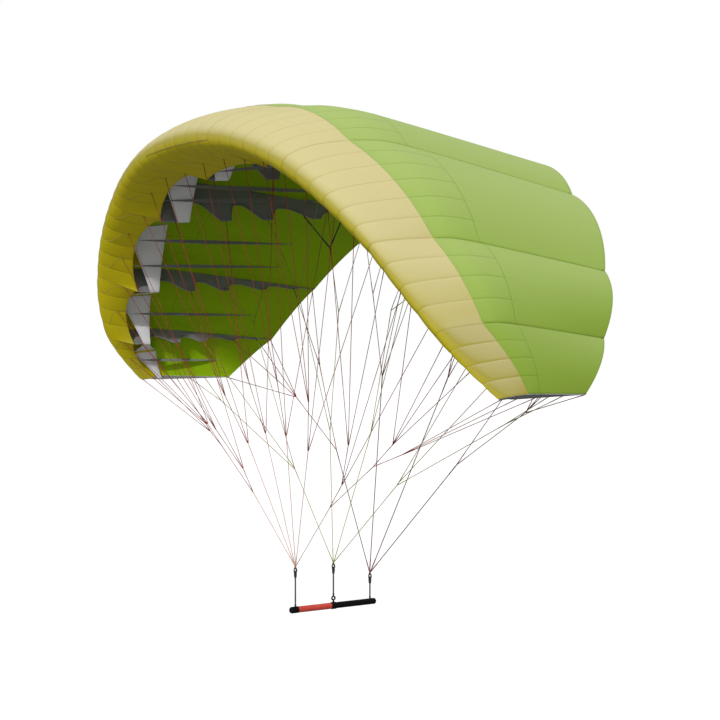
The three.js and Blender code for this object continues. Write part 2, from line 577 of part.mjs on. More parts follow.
function cord(a, b, d) {
  const shape = new THREE.Shape();
  for (let i = 0; i < LINE_SIDES; i++) {
    const w = 2 * Math.PI * i / LINE_SIDES;
    if (i === 0) shape.moveTo(Math.cos(w) * d / 2, Math.sin(w) * d / 2);
    else shape.lineTo(Math.cos(w) * d / 2, Math.sin(w) * d / 2);
  }
  shape.closePath();
  const g = new THREE.ExtrudeGeometry(shape, { steps: 1, bevelEnabled: false, extrudePath: new THREE.LineCurve3(a, b) });
  return solid(g);
}
function knot(p, r) {
  const g = new THREE.OctahedronGeometry(r * 1.25, 0);
  g.translate(p.x, p.y, p.z);
  return solid(g);
}
const middle = (list) => list.reduce((sum, p) => sum.add(p), new THREE.Vector3()).multiplyScalar(1 / list.length);
// Lines that leave a fork sit side by side on it: their starts, and the radius
// of the knot that holds them.
function sideBySide(fork, ends, pitch) {
  const dirs = ends.map((p) => p.clone().sub(fork).normalize());
  const w = dirs[dirs.length - 1].clone().sub(dirs[0]);
  const ahead = middle(dirs).normalize();
  w.addScaledVector(ahead, -w.dot(ahead)).normalize();
  const half = (ends.length - 1) / 2;
  return { starts: ends.map((p, i) => fork.clone().addScaledVector(w, (i - half) * pitch)), radius: half * pitch + 1.5 };
}

for (const from of ['front', 'centre', 'rear']) {
  for (const side of [-1, 1]) {
    const start = CONNECT[from].clone().add(new THREE.Vector3(side * SPREAD, 0, 0));
    let body = knot(start, 1.85);
    const forkAt = (key) => new THREE.Vector3(side * FORKS[key].p[0], FORKS[key].p[1], FORKS[key].p[2]);
    // the lines that leave a fork, and the forks above it
    const climb = (key) => {
      const here = forkAt(key), heavy = key === 'cv';
      const above = Object.keys(FORKS).filter((k) => FORKS[k].from === key);
      const ends = [...above.map(forkAt), ...FORKS[key].held.map((id) => anchor(id, side))];
      const { starts, radius } = sideBySide(here, ends, heavy ? HEAVY_PITCH : PITCH);
      body = body.add(knot(here, radius));
      ends.forEach((p, i) => { body = body.add(cord(starts[i], p, heavy ? HEAVY_D : LINE_D)); });
      above.forEach(climb);
    };
    for (const key of Object.keys(FORKS).filter((k) => FORKS[k].from === from)) {
      body = body.add(cord(start, forkAt(key), MAIN_D));
      climb(key);
    }
    place(`lines_${from}_${side < 0 ? 'left' : 'right'}`, geometryOf(body), LINE_COLORS[from], 0.7);
  }
}

export default group;
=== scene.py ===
# Looks of a parawing in flight: a single-skin arched canopy with a closed nose,
# ribs, diagonal straps, a cascade of bridle lines and a short hand bar.
# Sizes are in millimetres in the tables and metres in the meshes.
import math

import bpy
import numpy as np
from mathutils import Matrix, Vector


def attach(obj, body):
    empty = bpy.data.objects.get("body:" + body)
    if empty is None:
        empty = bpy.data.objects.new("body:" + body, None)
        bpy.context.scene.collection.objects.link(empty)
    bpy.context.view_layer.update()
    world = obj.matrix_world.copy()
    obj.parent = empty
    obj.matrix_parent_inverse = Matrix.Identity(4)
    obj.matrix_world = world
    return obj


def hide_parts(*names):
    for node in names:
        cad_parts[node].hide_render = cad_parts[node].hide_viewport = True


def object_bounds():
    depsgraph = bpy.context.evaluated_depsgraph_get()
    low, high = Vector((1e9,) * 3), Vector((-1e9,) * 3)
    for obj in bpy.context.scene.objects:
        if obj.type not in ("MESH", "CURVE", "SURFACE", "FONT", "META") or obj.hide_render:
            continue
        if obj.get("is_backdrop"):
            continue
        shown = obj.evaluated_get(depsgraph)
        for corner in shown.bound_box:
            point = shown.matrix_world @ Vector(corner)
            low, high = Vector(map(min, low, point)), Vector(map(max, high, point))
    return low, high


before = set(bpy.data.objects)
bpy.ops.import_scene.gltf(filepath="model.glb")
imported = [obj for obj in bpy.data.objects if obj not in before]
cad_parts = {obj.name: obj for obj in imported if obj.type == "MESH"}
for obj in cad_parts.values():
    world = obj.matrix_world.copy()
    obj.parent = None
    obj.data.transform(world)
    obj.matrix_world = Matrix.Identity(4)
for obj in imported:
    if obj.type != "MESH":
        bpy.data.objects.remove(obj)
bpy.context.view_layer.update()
MM = 0.001

# ------------------------------------------------------------------ sizes (mm)
CLOTH = 1.5
GAP = 0.4
STRAP = 1.3
CROWN_AT = 0.25
CROWN_EASE = 0.1
FRONT_POWER = {"0": 2.5, "1": 2.4, "2": 2.1, "3": 1.8, "tip": 1.6}  # fullness of the upper nose, by rib
ROUND = 45
BULGE = {"0": 0.018, "1": 0.012, "2": 0.0, "3": 0.012, "tip": 0.028}  # by rib, a share of the chord
LIP_POWER = 1.5
BILLOW_NOSE = 0.035
BILLOW_REAR = 0.095
BILLOW_FULL_AT = 0.4
SCALLOP = 0.06
LOW_MID = 0.045
REACH_IN = {"0": 0.52, "1": 0.44, "2": 0.455, "3": 0.52, "tip": 0.52}  # how far into the inner cell a strap runs, by rib
REACH_OUT = 0.44  # and into the outer cell
LINE_STOP = 0.72
TAIL_EDGE = 1.2
FLARE_RISE = 0.46

# name, nose point, tail point, tilt, crown, brow, lip, seam, prow
RIBS = {
    "0": ((279, -741, 1872), (261, 861, 1980), 12, 0.155, 0.06, 0.16, 0.19, 50),
    "1": ((751.5, -691.5, 1723.5), (684, 798, 1813.5), 30, 0.155, 0.076, 0.13, 0.175, 44),
    "2": ((1156.5, -588, 1415.5), (1147.5, 573, 1457), 47, 0.155, 0.125, 0.13, 0.205, 50),
    "3": ((1404, -471, 1156.5), (1325, 410, 1189.5), 55, 0.155, 0.1, 0.13, 0.195, 28),
    "tip": ((1534.5, -255, 976.5), (1449, 212, 984.5), 62, 0.07, -0.005, 0.13, 0.27, 22),
}
# a cell's own share of the billow and the tail scallop, how far its front and lip
# round out (mm), and the height of its lip over the chord line
SWELL = {
    "4": (1.0, 1.0, 12, 26, 0.045),
    "3": (1.0, 1.0, 12, 36, 0.045),
    "2": (0.97, 0.62, 6, 52, 0.04),
    "1": (1.3, 0.5, 5, 24, 0.045),
    "c": (1.0, 0.8, 4, 0, 0.012),
}
# chord shares of the feet of each rib, front to rear, and of its rear corner
FEET = {
    "0": (0.178, 0.365, 0.53, 0.72, 0.885, 0.985),
    "1": (0.178, 0.354, 0.503, 0.684, 0.86, 0.985),
    "2": (0.178, 0.377, 0.542, 0.732, 0.89, 0.985),
    "3": (0.178, 0.391, 0.556, 0.746, 0.9, 0.985),
    "tip": (0.19, 0.4, 0.55, 0.72, 0.85, 0.985),
}
FOOT_HALF = (0.04, 0.02, 0.018, 0.016, 0.012)
# name, left rib, right rib, bays, chord share of the strip seam at left and right
CELLS = [
    ("l4", "l_tip", "l3", 4, 0.4, 0.39),
    ("l3", "l3", "l2", 4, 0.38, 0.415),
    ("l2", "l2", "l1", 6, 0.392, 0.407),
    ("l1", "l1", "l0", 6, 0.362, 0.4),
    ("centre", "l0", "r0", 6, 0.395, 0.395),
    ("r1", "r0", "r1", 6, 0.4, 0.362),
    ("r2", "r1", "r2", 6, 0.407, 0.392),
    ("r3", "r2", "r3", 4, 0.415, 0.38),
    ("r4", "r3", "r_tip", 4, 0.39, 0.4),
]
RIB_ORDER = ["l_tip", "l3", "l2", "l1", "l0", "r0", "r1", "r2", "r3", "r_tip"]


# -------------------------------------------------------------------- sections
def mix(a, b, t):
    return a + (b - a) * t


def smooth(x):
    s = np.clip(x, 0, 1)
    return s * s * (3 - 2 * s)


def rib_row(name):
    side = -1 if name[0] == "l" else 1
    key = "tip" if name.endswith("tip") else name[1]
    nose, tail, tilt, crown, brow, lip, seam, prow = RIBS[key]
    return (
        np.array([side * nose[0], nose[1], nose[2]], float),
        np.array([side * tail[0], tail[1], tail[2]], float),
        side * tilt,
        crown,
        brow,
        lip,
        seam,
        prow,
        BULGE[key],
        FRONT_POWER[key],
    )


class Section:
    """One section of the canopy: d runs along the chord, n out of it, m across."""

    def __init__(self, left, right, t):
        a, b = rib_row(left), rib_row(right)
        self.nose = mix(a[0], b[0], t)
        self.tail = mix(a[1], b[1], t)
        tilt = math.radians(mix(a[2], b[2], t))
        self.crown, self.brow, self.lip, self.seam = (mix(a[i], b[i], t) for i in (3, 4, 5, 6))
        self.belly = 4 * t * (1 - t)
        out = max(4 if n.endswith("tip") else int(n[1]) for n in (left, right))
        self.swell, self.scallop, bow, draw, low = SWELL["c" if left[0] != right[0] or out == 0 else str(out)]
        self.prow = mix(a[7], b[7], t) + bow * self.belly
        self.draw = draw * self.belly
        self.bulge = mix(a[8], b[8], t)
        self.power = mix(a[9], b[9], t)
        self.low = low
        self.width = float(np.linalg.norm(0.5 * (a[0] + a[1] - b[0] - b[1])))
        self.d = self.tail - self.nose
        self.chord = float(np.linalg.norm(self.d))
        self.d = self.d / self.chord
        n = np.array([math.sin(tilt), 0, math.cos(tilt)])
        n = n - self.d * n.dot(self.d)
        self.n = n / np.linalg.norm(n)
        m = np.cross(self.d, self.n)
        self.m = m / np.linalg.norm(m)

    def upper_height(self, u):
        x = np.clip((CROWN_AT - u) / CROWN_AT, 0, 1)
        front = self.brow + (self.crown - self.brow) * np.maximum(0, 1 - x**self.power) ** (1 / self.power)
        y = np.maximum(0, (u - CROWN_AT) / (1 - CROWN_AT))
        rear = self.crown * (1 - (1 + CROWN_EASE) * y * y / (y + CROWN_EASE))
        return np.where(u < CROWN_AT, front, rear)

    def lower_height(self, u):
        x = np.clip((self.lip - u) / self.lip, 0, 1)
        round_in = 1 - np.maximum(0, 1 - x**LIP_POWER) ** (1 / LIP_POWER)
        mid = LOW_MID + (self.brow - LOW_MID) * (0.6 * round_in + 0.4 * x * x)
        lip = mix(0.0, self.low, math.sqrt(self.belly)) - LOW_MID
        return mid + lip * (1 - x) ** 2.5

    def upper2(self, u):
        u = np.asarray(u, float)
        billow = mix(BILLOW_NOSE, BILLOW_REAR, smooth(u / BILLOW_FULL_AT))
        front = self.prow * np.clip(1 - u / self.seam, 0, 1) ** 1.4
        return (
            u * self.chord + self.scallop * SCALLOP * self.width * self.belly * u * u - front,
            self.upper_height(u) * self.chord + self.swell * billow * self.width * self.belly,
        )

    def lower2(self, u):
        u = np.asarray(u, float)
        q = np.clip(u / self.lip, 0, 1)
        full = self.bulge * self.chord * np.sin(np.pi * q**0.75)
        x = u * self.chord - self.prow * (1 - q) - self.draw * q - 0.8 * full
        return x, self.lower_height(u) * self.chord + self.swell * BILLOW_NOSE * self.width * self.belly - 0.6 * full

    def at(self, x, y, off=0.0):
        x, y = np.asarray(x, float), np.asarray(y, float)
        return self.nose + x[..., None] * self.d + y[..., None] * self.n + off * self.m


def unit(v):
    return v / np.maximum(np.linalg.norm(v, axis=-1, keepdims=True), 1e-12)


# ------------------------------------------------------------------ mesh makers
def new_object(name, points, faces, materials, face_slots=None, uv=None, values=None, flat=False):
    """points in metres; uv and values are per point."""
    mesh = bpy.data.meshes.new(name)
    mesh.from_pydata([tuple(p) for p in np.asarray(points).tolist()], [], [tuple(f) for f in faces])
    for m in materials:
        mesh.materials.append(m)
    if face_slots is not None:
        mesh.polygons.foreach_set("material_index", np.asarray(face_slots, np.int32))
    if not flat:
        mesh.polygons.foreach_set("use_smooth", np.ones(len(mesh.polygons), bool))
    if uv is not None:
        layer = mesh.uv_layers.new(name="cloth")
        corner = np.empty(len(mesh.loops), np.int32)
        mesh.loops.foreach_get("vertex_index", corner)
        layer.data.foreach_set("uv", np.asarray(uv, np.float32)[corner].ravel())
    for key, v in (values or {}).items():
        a = mesh.attributes.new(key, "FLOAT", "POINT")
        a.data.foreach_set("value", np.asarray(v, np.float32))
    mesh.validate()
    mesh.update()
    if not flat:
        mesh.set_sharp_from_angle(angle=math.radians(62))
    o = bpy.data.objects.new(name, mesh)
    bpy.context.scene.collection.objects.link(o)
    return o


def grid_faces(rows, cols):
    r, c = np.meshgrid(np.arange(rows - 1), np.arange(cols - 1), indexing="ij")
    a = (r * cols + c).ravel()
    return np.stack([a, a + 1, a + cols + 1, a + cols], 1)


def thick_sheet(outer, inner):
    """Closed sheet from two grids of the same shape: points, faces, and which faces are outer, inner, rim."""
    rows, cols = outer.shape[:2]
    n = rows * cols
    f = grid_faces(rows, cols)
    faces = [f, f[:, ::-1] + n]
    idx = np.arange(n).reshape(rows, cols)
    rim = []
    for line, flip in ((idx[0], True), (idx[-1], False), (idx[:, 0], False), (idx[:, -1], True)):
        a, b = line[:-1], line[1:]
        q = np.stack([a, b, b + n, a + n], 1)
        rim.append(q if flip else q[:, ::-1])
    faces += rim
    slots = np.concatenate([np.zeros(len(f)), np.ones(len(f)), np.full(sum(len(r) for r in rim), 2)]).astype(int)
    return np.concatenate([outer.reshape(-1, 3), inner.reshape(-1, 3)]), np.concatenate(faces), slots


def outward(points, faces):
    """Flips all faces if the closed mesh is inside out."""
    p = points[faces[:, 0]]
    q = points[faces[:, 1]]
    r = points[faces[:, 2]]
    s = points[faces[:, 3]] if faces.shape[1] == 4 else r
    vol = (p * np.cross(q, r)).sum() + ((p * np.cross(r, s)).sum() if faces.shape[1] == 4 else 0)
    return faces[:, ::-1] if vol < 0 else faces


def tube(path, radius, sides=8, up=None):
    """Closed tube along a path, with a radius for each point. Returns points, quad faces, uv (round, along)."""
    path = np.asarray(path, float)
    radius = np.broadcast_to(np.asarray(radius, float), (len(path),))
    tangent = unit(np.gradient(path, axis=0))
    a = np.array([0.0, 0.0, 1.0]) if up is None else np.asarray(up, float)
    if abs(np.dot(a, tangent[0])) > 0.95:
        a = np.array([1.0, 0.0, 0.0])
    side = np.empty_like(path)
    for i, t in enumerate(tangent):
        a = a - t * a.dot(t)
        a = a / max(np.linalg.norm(a), 1e-9)
        side[i] = a
    other = np.cross(tangent, side)
    w = 2 * np.pi * np.arange(sides) / sides
    ring = path[:, None] + radius[:, None, None] * (np.cos(w)[None, :, None] * side[:, None] + np.sin(w)[None, :, None] * other[:, None])
    points = np.concatenate([ring.reshape(-1, 3), path[:1], path[-1:]])
    n = len(path)
    i, j = np.meshgrid(np.arange(n - 1), np.arange(sides), indexing="ij")
    k = (j + 1) % sides
    quads = np.stack([i * sides + j, i * sides + k, (i + 1) * sides + k, (i + 1) * sides + j], -1).reshape(-1, 4)
    caps = []
    for s in range(sides):
        t = (s + 1) % sides
        caps.append([n * sides, t, s, s])
        caps.append([n * sides + 1, (n - 1) * sides + s, (n - 1) * sides + t, (n - 1) * sides + t])
    faces = np.concatenate([quads, np.array(caps)])
    along = np.concatenate([[0], np.cumsum(np.linalg.norm(np.diff(path, axis=0), axis=1))])
    uv = np.stack([np.broadcast_to(w / (2 * np.pi), (n, sides)), np.broadcast_to(along[:, None], (n, sides))], -1).reshape(-1, 2)
    uv = np.concatenate([uv, [[0, 0], [0, along[-1]]]])
    return points, faces, uv


def clean(face):
    """Drops the repeated corner of a triangle kept as a quad."""
    out = []
    for v in face:
        if not out or v != out[-1]:
            out.append(v)
    if len(out) > 1 and out[0] == out[-1]:
        out.pop()
    return out


class Joined:
    """Collects many closed pieces into one mesh."""

    def __init__(self):
        self.points, self.faces, self.uv, self.slots, self.count = [], [], [], [], 0

    def add(self, points, faces, uv=None, slot=0):
        self.points.append(np.asarray(points, float))
        self.faces.extend([[int(v) + self.count for v in f] for f in faces])
        self.slots.extend([slot] * len(faces))
        self.uv.append(np.zeros((len(points), 2)) if uv is None else np.asarray(uv, float))
        self.count += len(points)

    def add_tube(self, path, radius, sides=8, slot=0):
        p, f, uv = tube(path, radius, sides)
        self.add(p, [clean(x) for x in f.tolist()], uv, slot)

    def make(self, name, materials, flat=False):
        return new_object(name, np.concatenate(self.points) * MM, self.faces, materials, self.slots, np.concatenate(self.uv), flat=flat)


def turned(stations, sides, axis):
    """A turned closed piece from (along, radius) stations; axis 1 is along Y, 2 along Z. Ends close on the axis."""
    st = np.asarray(stations, float)
    w = 2 * np.pi * np.arange(sides) / sides
    along = np.repeat(st[:, :1], sides, 1)
    c, s = st[:, 1:2] * np.cos(w), st[:, 1:2] * np.sin(w)
    p = np.stack([c, along, s], -1) if axis == 1 else np.stack([c, s, along], -1)
    n = len(st)
    ends = [[0, st[0, 0], 0], [0, st[-1, 0], 0]] if axis == 1 else [[0, 0, st[0, 0]], [0, 0, st[-1, 0]]]
    points = np.concatenate([p.reshape(-1, 3), np.array(ends, float)])
    faces = []
    for i in range(n - 1):
        for j in range(sides):
            k = (j + 1) % sides
            faces.append([i * sides + j, i * sides + k, (i + 1) * sides + k, (i + 1) * sides + j])
    for j in range(sides):
        k = (j + 1) % sides
        faces.append([n * sides, k, j])
        faces.append([n * sides + 1, (n - 1) * sides + j, (n - 1) * sides + k])
    if axis == 1:
        faces = [f[::-1] for f in faces]
    arc = np.concatenate([[0], np.cumsum(np.linalg.norm(np.diff(st, axis=0), axis=1))])
    uv = np.stack([np.broadcast_to(w / (2 * np.pi), (n, sides)), np.broadcast_to(arc[:, None] * MM, (n, sides))], -1).reshape(-1, 2)
    return points, faces, np.concatenate([uv, [[0, 0], [0, arc[-1] * MM]]])


def stitches(joined, path, normal, pitch=4.0, length=2.9, radius=0.38, lift=0.25, slot=0):
    """A row of thread stitches along a path lying on a surface."""
    path, normal = np.asarray(path, float), np.asarray(normal, float)
    s = np.concatenate([[0], np.cumsum(np.linalg.norm(np.diff(path, axis=0), axis=1))])
    if s[-1] < 2 * pitch:
        return
    at = np.arange(pitch, s[-1] - pitch / 2, pitch)
    mid = np.stack([np.interp(at, s, path[:, i]) for i in range(3)], 1)
    nrm = unit(np.stack([np.interp(at, s, normal[:, i]) for i in range(3)], 1))
    ahead = np.stack([np.interp(at + 0.4 * pitch, s, path[:, i]) for i in range(3)], 1)
    t = unit(ahead - mid)
    b = np.cross(nrm, t)
    mid = mid + nrm * lift
    corners = np.stack(
        [mid - t * length / 2, mid + t * length / 2, mid + b * radius, mid - b * radius, mid + nrm * radius, mid - nrm * radius], 1
    )
    f = np.array([[0, 4, 2], [2, 4, 1], [1, 4, 3], [3, 4, 0], [0, 2, 5], [2, 1, 5], [1, 3, 5], [3, 0, 5]])[:, ::-1]
    n = len(at)
    faces = (f[None] + 6 * np.arange(n)[:, None, None]).reshape(-1, 3)
    joined.add(corners.reshape(-1, 3), faces.tolist(), None, slot)


# ---------------------------------------------------------------- materials
def material(name):
    m = bpy.data.materials.new(name)
    m.use_nodes = True
    nt = m.node_tree
    b = nt.nodes["Principled BSDF"]
    return m, nt, b


def node(nt, kind, **values):
    n = nt.nodes.new(kind)
    for key, v in values.items():
        setattr(n, key, v)
    return n


def math_node(nt, op, a, b=None, c=None):
    n = node(nt, "ShaderNodeMath", operation=op)
    for i, v in enumerate((a, b, c)):
        if v is None:
            continue
        if isinstance(v, (int, float)):
            n.inputs[i].default_value = v
        else:
            nt.links.new(v, n.inputs[i])
    return n.outputs[0]


def mix_color(nt, factor, a, b, blend="MIX"):
    n = node(nt, "ShaderNodeMix", data_type="RGBA", blend_type=blend)
    for i, v in ((0, factor), (6, a), (7, b)):
        if isinstance(v, (int, float)):
            n.inputs[i].default_value = v
        elif isinstance(v, tuple):
            n.inputs[i].default_value = (*v, 1)
        else:
            nt.links.new(v, n.inputs[i])
    return n.outputs[2]


def ripstop(nt, uv, cell, line):
    """1 on the raised threads of a ripstop grid of that cell size (m), else 0."""
    sep = node(nt, "ShaderNodeSeparateXYZ")
    nt.links.new(uv, sep.inputs[0])
    lines = []
    for axis in (0, 1):
        w = math_node(nt, "PINGPONG", sep.outputs[axis], cell / 2)
        lines.append(math_node(nt, "LESS_THAN", w, line))
    return math_node(nt, "MAXIMUM", *lines)


def cloth(name, color, deep, painted_lit_color=None, rough=0.55, seam_color=None, weave=1.0, spec=0.5, second_tone=None):
    """Coated ripstop: a grid of heavier threads, soft colour drift, painted light (paler) on the upward-facing side
    and painted shade (duller) on the front edge, both from a mask of which way the surface faces, creases by the seams,
    darker seam lines."""
    m, nt, b = material(name)
    uv = node(nt, "ShaderNodeUVMap", uv_map="cloth").outputs[0]
    coarse = node(nt, "ShaderNodeTexNoise")
    coarse.inputs["Scale"].default_value = 3.0
    coarse.inputs["Detail"].default_value = 3.0
    fine = node(nt, "ShaderNodeTexNoise")
    fine.inputs["Scale"].default_value = 55.0
    fine.inputs["Detail"].default_value = 4.0
    crease = node(nt, "ShaderNodeTexNoise")
    crease.inputs["Scale"].default_value = 9.0
    crease.inputs["Detail"].default_value = 2.0
    crease.inputs["Distortion"].default_value = 0.6
    for n in (coarse, fine, crease):
        nt.links.new(uv, n.inputs["Vector"])
    grid = ripstop(nt, uv, 0.005, 0.00035)
    drift = node(nt, "ShaderNodeMapRange")
    drift.inputs["From Min"].default_value = 0.3
    drift.inputs["From Max"].default_value = 0.7
    nt.links.new(coarse.outputs["Fac"], drift.inputs["Value"])
    base = mix_color(nt, drift.outputs[0], color, deep)
    if painted_lit_color is not None:
        # painted light and shade: a mask of which way the cloth faces paints upward-facing cloth paler and, with the
        # second tone, the front edge duller
        painted_light_shade_mask = node(nt, "ShaderNodeAttribute", attribute_name="painted_light_shade_mask")
        if second_tone is None:
            base = mix_color(nt, painted_light_shade_mask.outputs["Fac"], base, painted_lit_color)
        else:  # painted shade: the front edge, facing about level, is painted duller, then the upward-facing side is painted paler as painted light
            base = mix_color(nt, math_node(nt, "DIVIDE", painted_light_shade_mask.outputs["Fac"], 0.45), base, second_tone)
            upper = math_node(nt, "DIVIDE", math_node(nt, "SUBTRACT", painted_light_shade_mask.outputs["Fac"], 0.45), 0.43)
            base = mix_color(nt, math_node(nt, "MAXIMUM", upper, 0.0), base, painted_lit_color)
    base = mix_color(nt, math_node(nt, "MULTIPLY", grid, 0.16), base, (1, 1, 1), "SOFT_LIGHT")
    base = mix_color(nt, math_node(nt, "MULTIPLY", fine.outputs["Fac"], 0.1), base, deep)
    seam = node(nt, "ShaderNodeAttribute", attribute_name="seam")
    dark = seam_color or tuple(0.55 * x for x in deep)
    base = mix_color(nt, math_node(nt, "MULTIPLY", seam.outputs["Fac"], 0.5), base, dark)
    nt.links.new(base, b.inputs["Base Color"])
    r = node(nt, "ShaderNodeMapRange")
    r.inputs["To Min"].default_value = rough - 0.06
    r.inputs["To Max"].default_value = rough + 0.08
    nt.links.new(fine.outputs["Fac"], r.inputs["Value"])
    nt.links.new(r.outputs[0], b.inputs["Roughness"])
    b.inputs["Specular IOR Level"].default_value = spec
    pucker = node(nt, "ShaderNodeAttribute", attribute_name="pucker")
    wave = math_node(nt, "MULTIPLY", crease.outputs["Fac"], math_node(nt, "MULTIPLY_ADD", pucker.outputs["Fac"], 0.8, 0.25))
    height = math_node(nt, "ADD", math_node(nt, "MULTIPLY", wave, 3.0), math_node(nt, "MULTIPLY", grid, 0.12 * weave))
    height = math_node(nt, "ADD", height, math_node(nt, "MULTIPLY", fine.outputs["Fac"], 0.1 * weave))
    bump = node(nt, "ShaderNodeBump")
    bump.inputs["Strength"].default_value = 0.35
    bump.inputs["Distance"].default_value = 0.002
    nt.links.new(height, bump.inputs["Height"])
    nt.links.new(bump.outputs[0], b.inputs["Normal"])
    return m


def braid(name, color, dark, pitch, rough=0.65, spec=0.5):
    """Braided line: two crossing sets of strands wound round it."""
    m, nt, b = material(name)
    b.inputs["Specular IOR Level"].default_value = spec
    uv = node(nt, "ShaderNodeUVMap", uv_map="cloth").outputs[0]
    sep = node(nt, "ShaderNodeSeparateXYZ")
    nt.links.new(uv, sep.inputs[0])
    along = math_node(nt, "DIVIDE", sep.outputs[1], pitch)
    sets = []
    for sign in (1.0, -1.0):
        w = math_node(nt, "MULTIPLY_ADD", sep.outputs[0], 4.0 * sign, along)
        sets.append(math_node(nt, "PINGPONG", w, 0.5))
    weave = math_node(nt, "MULTIPLY", math_node(nt, "MAXIMUM", *sets), 2.0)
    noise = node(nt, "ShaderNodeTexNoise")
    noise.inputs["Scale"].default_value = 40.0
    nt.links.new(uv, noise.inputs["Vector"])
    base = mix_color(nt, math_node(nt, "POWER", weave, 2.0), dark, color)
    base = mix_color(nt, math_node(nt, "MULTIPLY", noise.outputs["Fac"], 0.3), base, dark)
    nt.links.new(base, b.inputs["Base Color"])
    r = node(nt, "ShaderNodeMapRange")
    r.inputs["To Min"].default_value = rough
    r.inputs["To Max"].default_value = rough - 0.12
    nt.links.new(weave, r.inputs["Value"])
    nt.links.new(r.outputs[0], b.inputs["Roughness"])
    bump = node(nt, "ShaderNodeBump")
    bump.inputs["Strength"].default_value = 0.6
    bump.inputs["Distance"].default_value = 0.0006
    nt.links.new(weave, bump.inputs["Height"])
    nt.links.new(bump.outputs[0], b.inputs["Normal"])
    return m


def moulded(name, color, second_tone, rough, scale=900.0, metal=0.0, depth=0.0003, streak=None, spec=0.5):
    """Moulded rubber, foam or plain metal: fine grain, rubbed lighter patches."""
    m, nt, b = material(name)
    pos = node(nt, "ShaderNodeTexCoord").outputs["Object"]
    if streak is not None:
        mp = node(nt, "ShaderNodeMapping")
        mp.inputs["Scale"].default_value = streak
        nt.links.new(pos, mp.inputs[0])
        pos = mp.outputs[0]
    grain = node(nt, "ShaderNodeTexNoise")
    grain.inputs["Scale"].default_value = scale
    grain.inputs["Detail"].default_value = 3.0
    rub = node(nt, "ShaderNodeTexNoise")
    rub.inputs["Scale"].default_value = scale * 0.06
    rub.inputs["Detail"].default_value = 5.0
    for n in (grain, rub):
        nt.links.new(pos, n.inputs["Vector"])
    f = node(nt, "ShaderNodeMapRange")
    f.inputs["From Min"].default_value = 0.45
    f.inputs["From Max"].default_value = 0.75
    nt.links.new(rub.outputs["Fac"], f.inputs["Value"])
    base = mix_color(nt, f.outputs[0], color, second_tone)
    base = mix_color(nt, math_node(nt, "MULTIPLY", grain.outputs["Fac"], 0.15), base, tuple(0.6 * x for x in color))
    nt.links.new(base, b.inputs["Base Color"])
    r = node(nt, "ShaderNodeMapRange")
    r.inputs["To Min"].default_value = rough - 0.08
    r.inputs["To Max"].default_value = rough + 0.1
    nt.links.new(rub.outputs["Fac"], r.inputs["Value"])
    nt.links.new(r.outputs[0], b.inputs["Roughness"])
    b.inputs["Metallic"].default_value = metal
    b.inputs["Specular IOR Level"].default_value = spec
    bump = node(nt, "ShaderNodeBump")
    bump.inputs["Strength"].default_value = 0.4
    bump.inputs["Distance"].default_value = depth
    nt.links.new(grain.outputs["Fac"], bump.inputs["Height"])
    nt.links.new(bump.outputs[0], b.inputs["Normal"])
    return m


# the third colour of the outer green and yellow is painted light on upward-facing cloth; the yellow's second tone is
# painted shade on the nose's front edge
GREEN = cloth("cloth_green", (0.238, 0.395, 0.003), (0.225, 0.37, 0.002), (0.315, 0.43, 0.095))
GREEN_IN = cloth("cloth_green_inside", (0.27, 0.46, 0.003), (0.25, 0.43, 0.002), spec=0.08)
YELLOW = cloth("cloth_yellow", (0.62, 0.525, 0.004), (0.59, 0.5, 0.003), (0.535, 0.475, 0.235), seam_color=(0.28, 0.22, 0.02), spec=0.14, second_tone=(0.4, 0.345, 0.065))
YELLOW_IN = cloth("cloth_yellow_inside", (0.62, 0.525, 0.004), (0.59, 0.5, 0.003), seam_color=(0.30, 0.24, 0.02), spec=0.08)
DARK = cloth("cloth_dark_grey", (0.25, 0.25, 0.26), (0.225, 0.225, 0.235), rough=0.8, seam_color=(0.11, 0.11, 0.115), spec=0.1)
PALE = cloth("cloth_pale_grey", (0.76, 0.76, 0.77), (0.71, 0.71, 0.72), rough=0.75, seam_color=(0.4, 0.4, 0.41), spec=0.2)
THREAD_Y = moulded("thread_yellow", (0.42, 0.33, 0.05), (0.5, 0.4, 0.08), 0.6, 1500.0)
THREAD_G = moulded("thread_green", (0.19, 0.31, 0.035), (0.24, 0.36, 0.05), 0.6, 1500.0)
WEBBING = moulded("webbing_tabs", (0.12, 0.1, 0.03), (0.2, 0.17, 0.06), 0.75, 1200.0)
LINE = {
    "front": braid("line_salmon", (0.7, 0.39, 0.3), (0.55, 0.27, 0.2), 0.004),
    "centre": braid("line_lime", (0.42, 0.42, 0.03), (0.28, 0.28, 0.02), 0.004),
    "rear": braid("line_mauve", (0.22, 0.05, 0.05), (0.13, 0.025, 0.027), 0.004),
}
UPPER = {
    "front": braid("line_salmon_upper", (0.34, 0.05, 0.034), (0.23, 0.034, 0.023), 0.003, spec=0.1),
    "centre": braid("line_lime_upper", (0.36, 0.36, 0.03), (0.22, 0.22, 0.018), 0.003),
    "rear": braid("line_mauve_upper", (0.36, 0.07, 0.062), (0.22, 0.04, 0.036), 0.003, spec=0.1),
}
SLEEVE = {
    "front": moulded("sleeve_orange", (0.42, 0.11, 0.05), (0.5, 0.16, 0.08), 0.6, 900.0),
    "centre": moulded("sleeve_olive", (0.14, 0.15, 0.04), (0.2, 0.21, 0.06), 0.6, 900.0),
    "rear": moulded("sleeve_plum", (0.06, 0.025, 0.028), (0.1, 0.045, 0.05), 0.6, 900.0),
}
ROPE = braid("rope_dark", (0.13, 0.13, 0.135), (0.045, 0.045, 0.05), 0.006, 0.7)
KNOT = braid("rope_knot", (0.03, 0.03, 0.032), (0.012, 0.012, 0.013), 0.006, 0.7)
RUBBER = moulded("bar_black_rubber", (0.002, 0.002, 0.0023), (0.004, 0.004, 0.0045), 0.6, 900.0, spec=0.13)
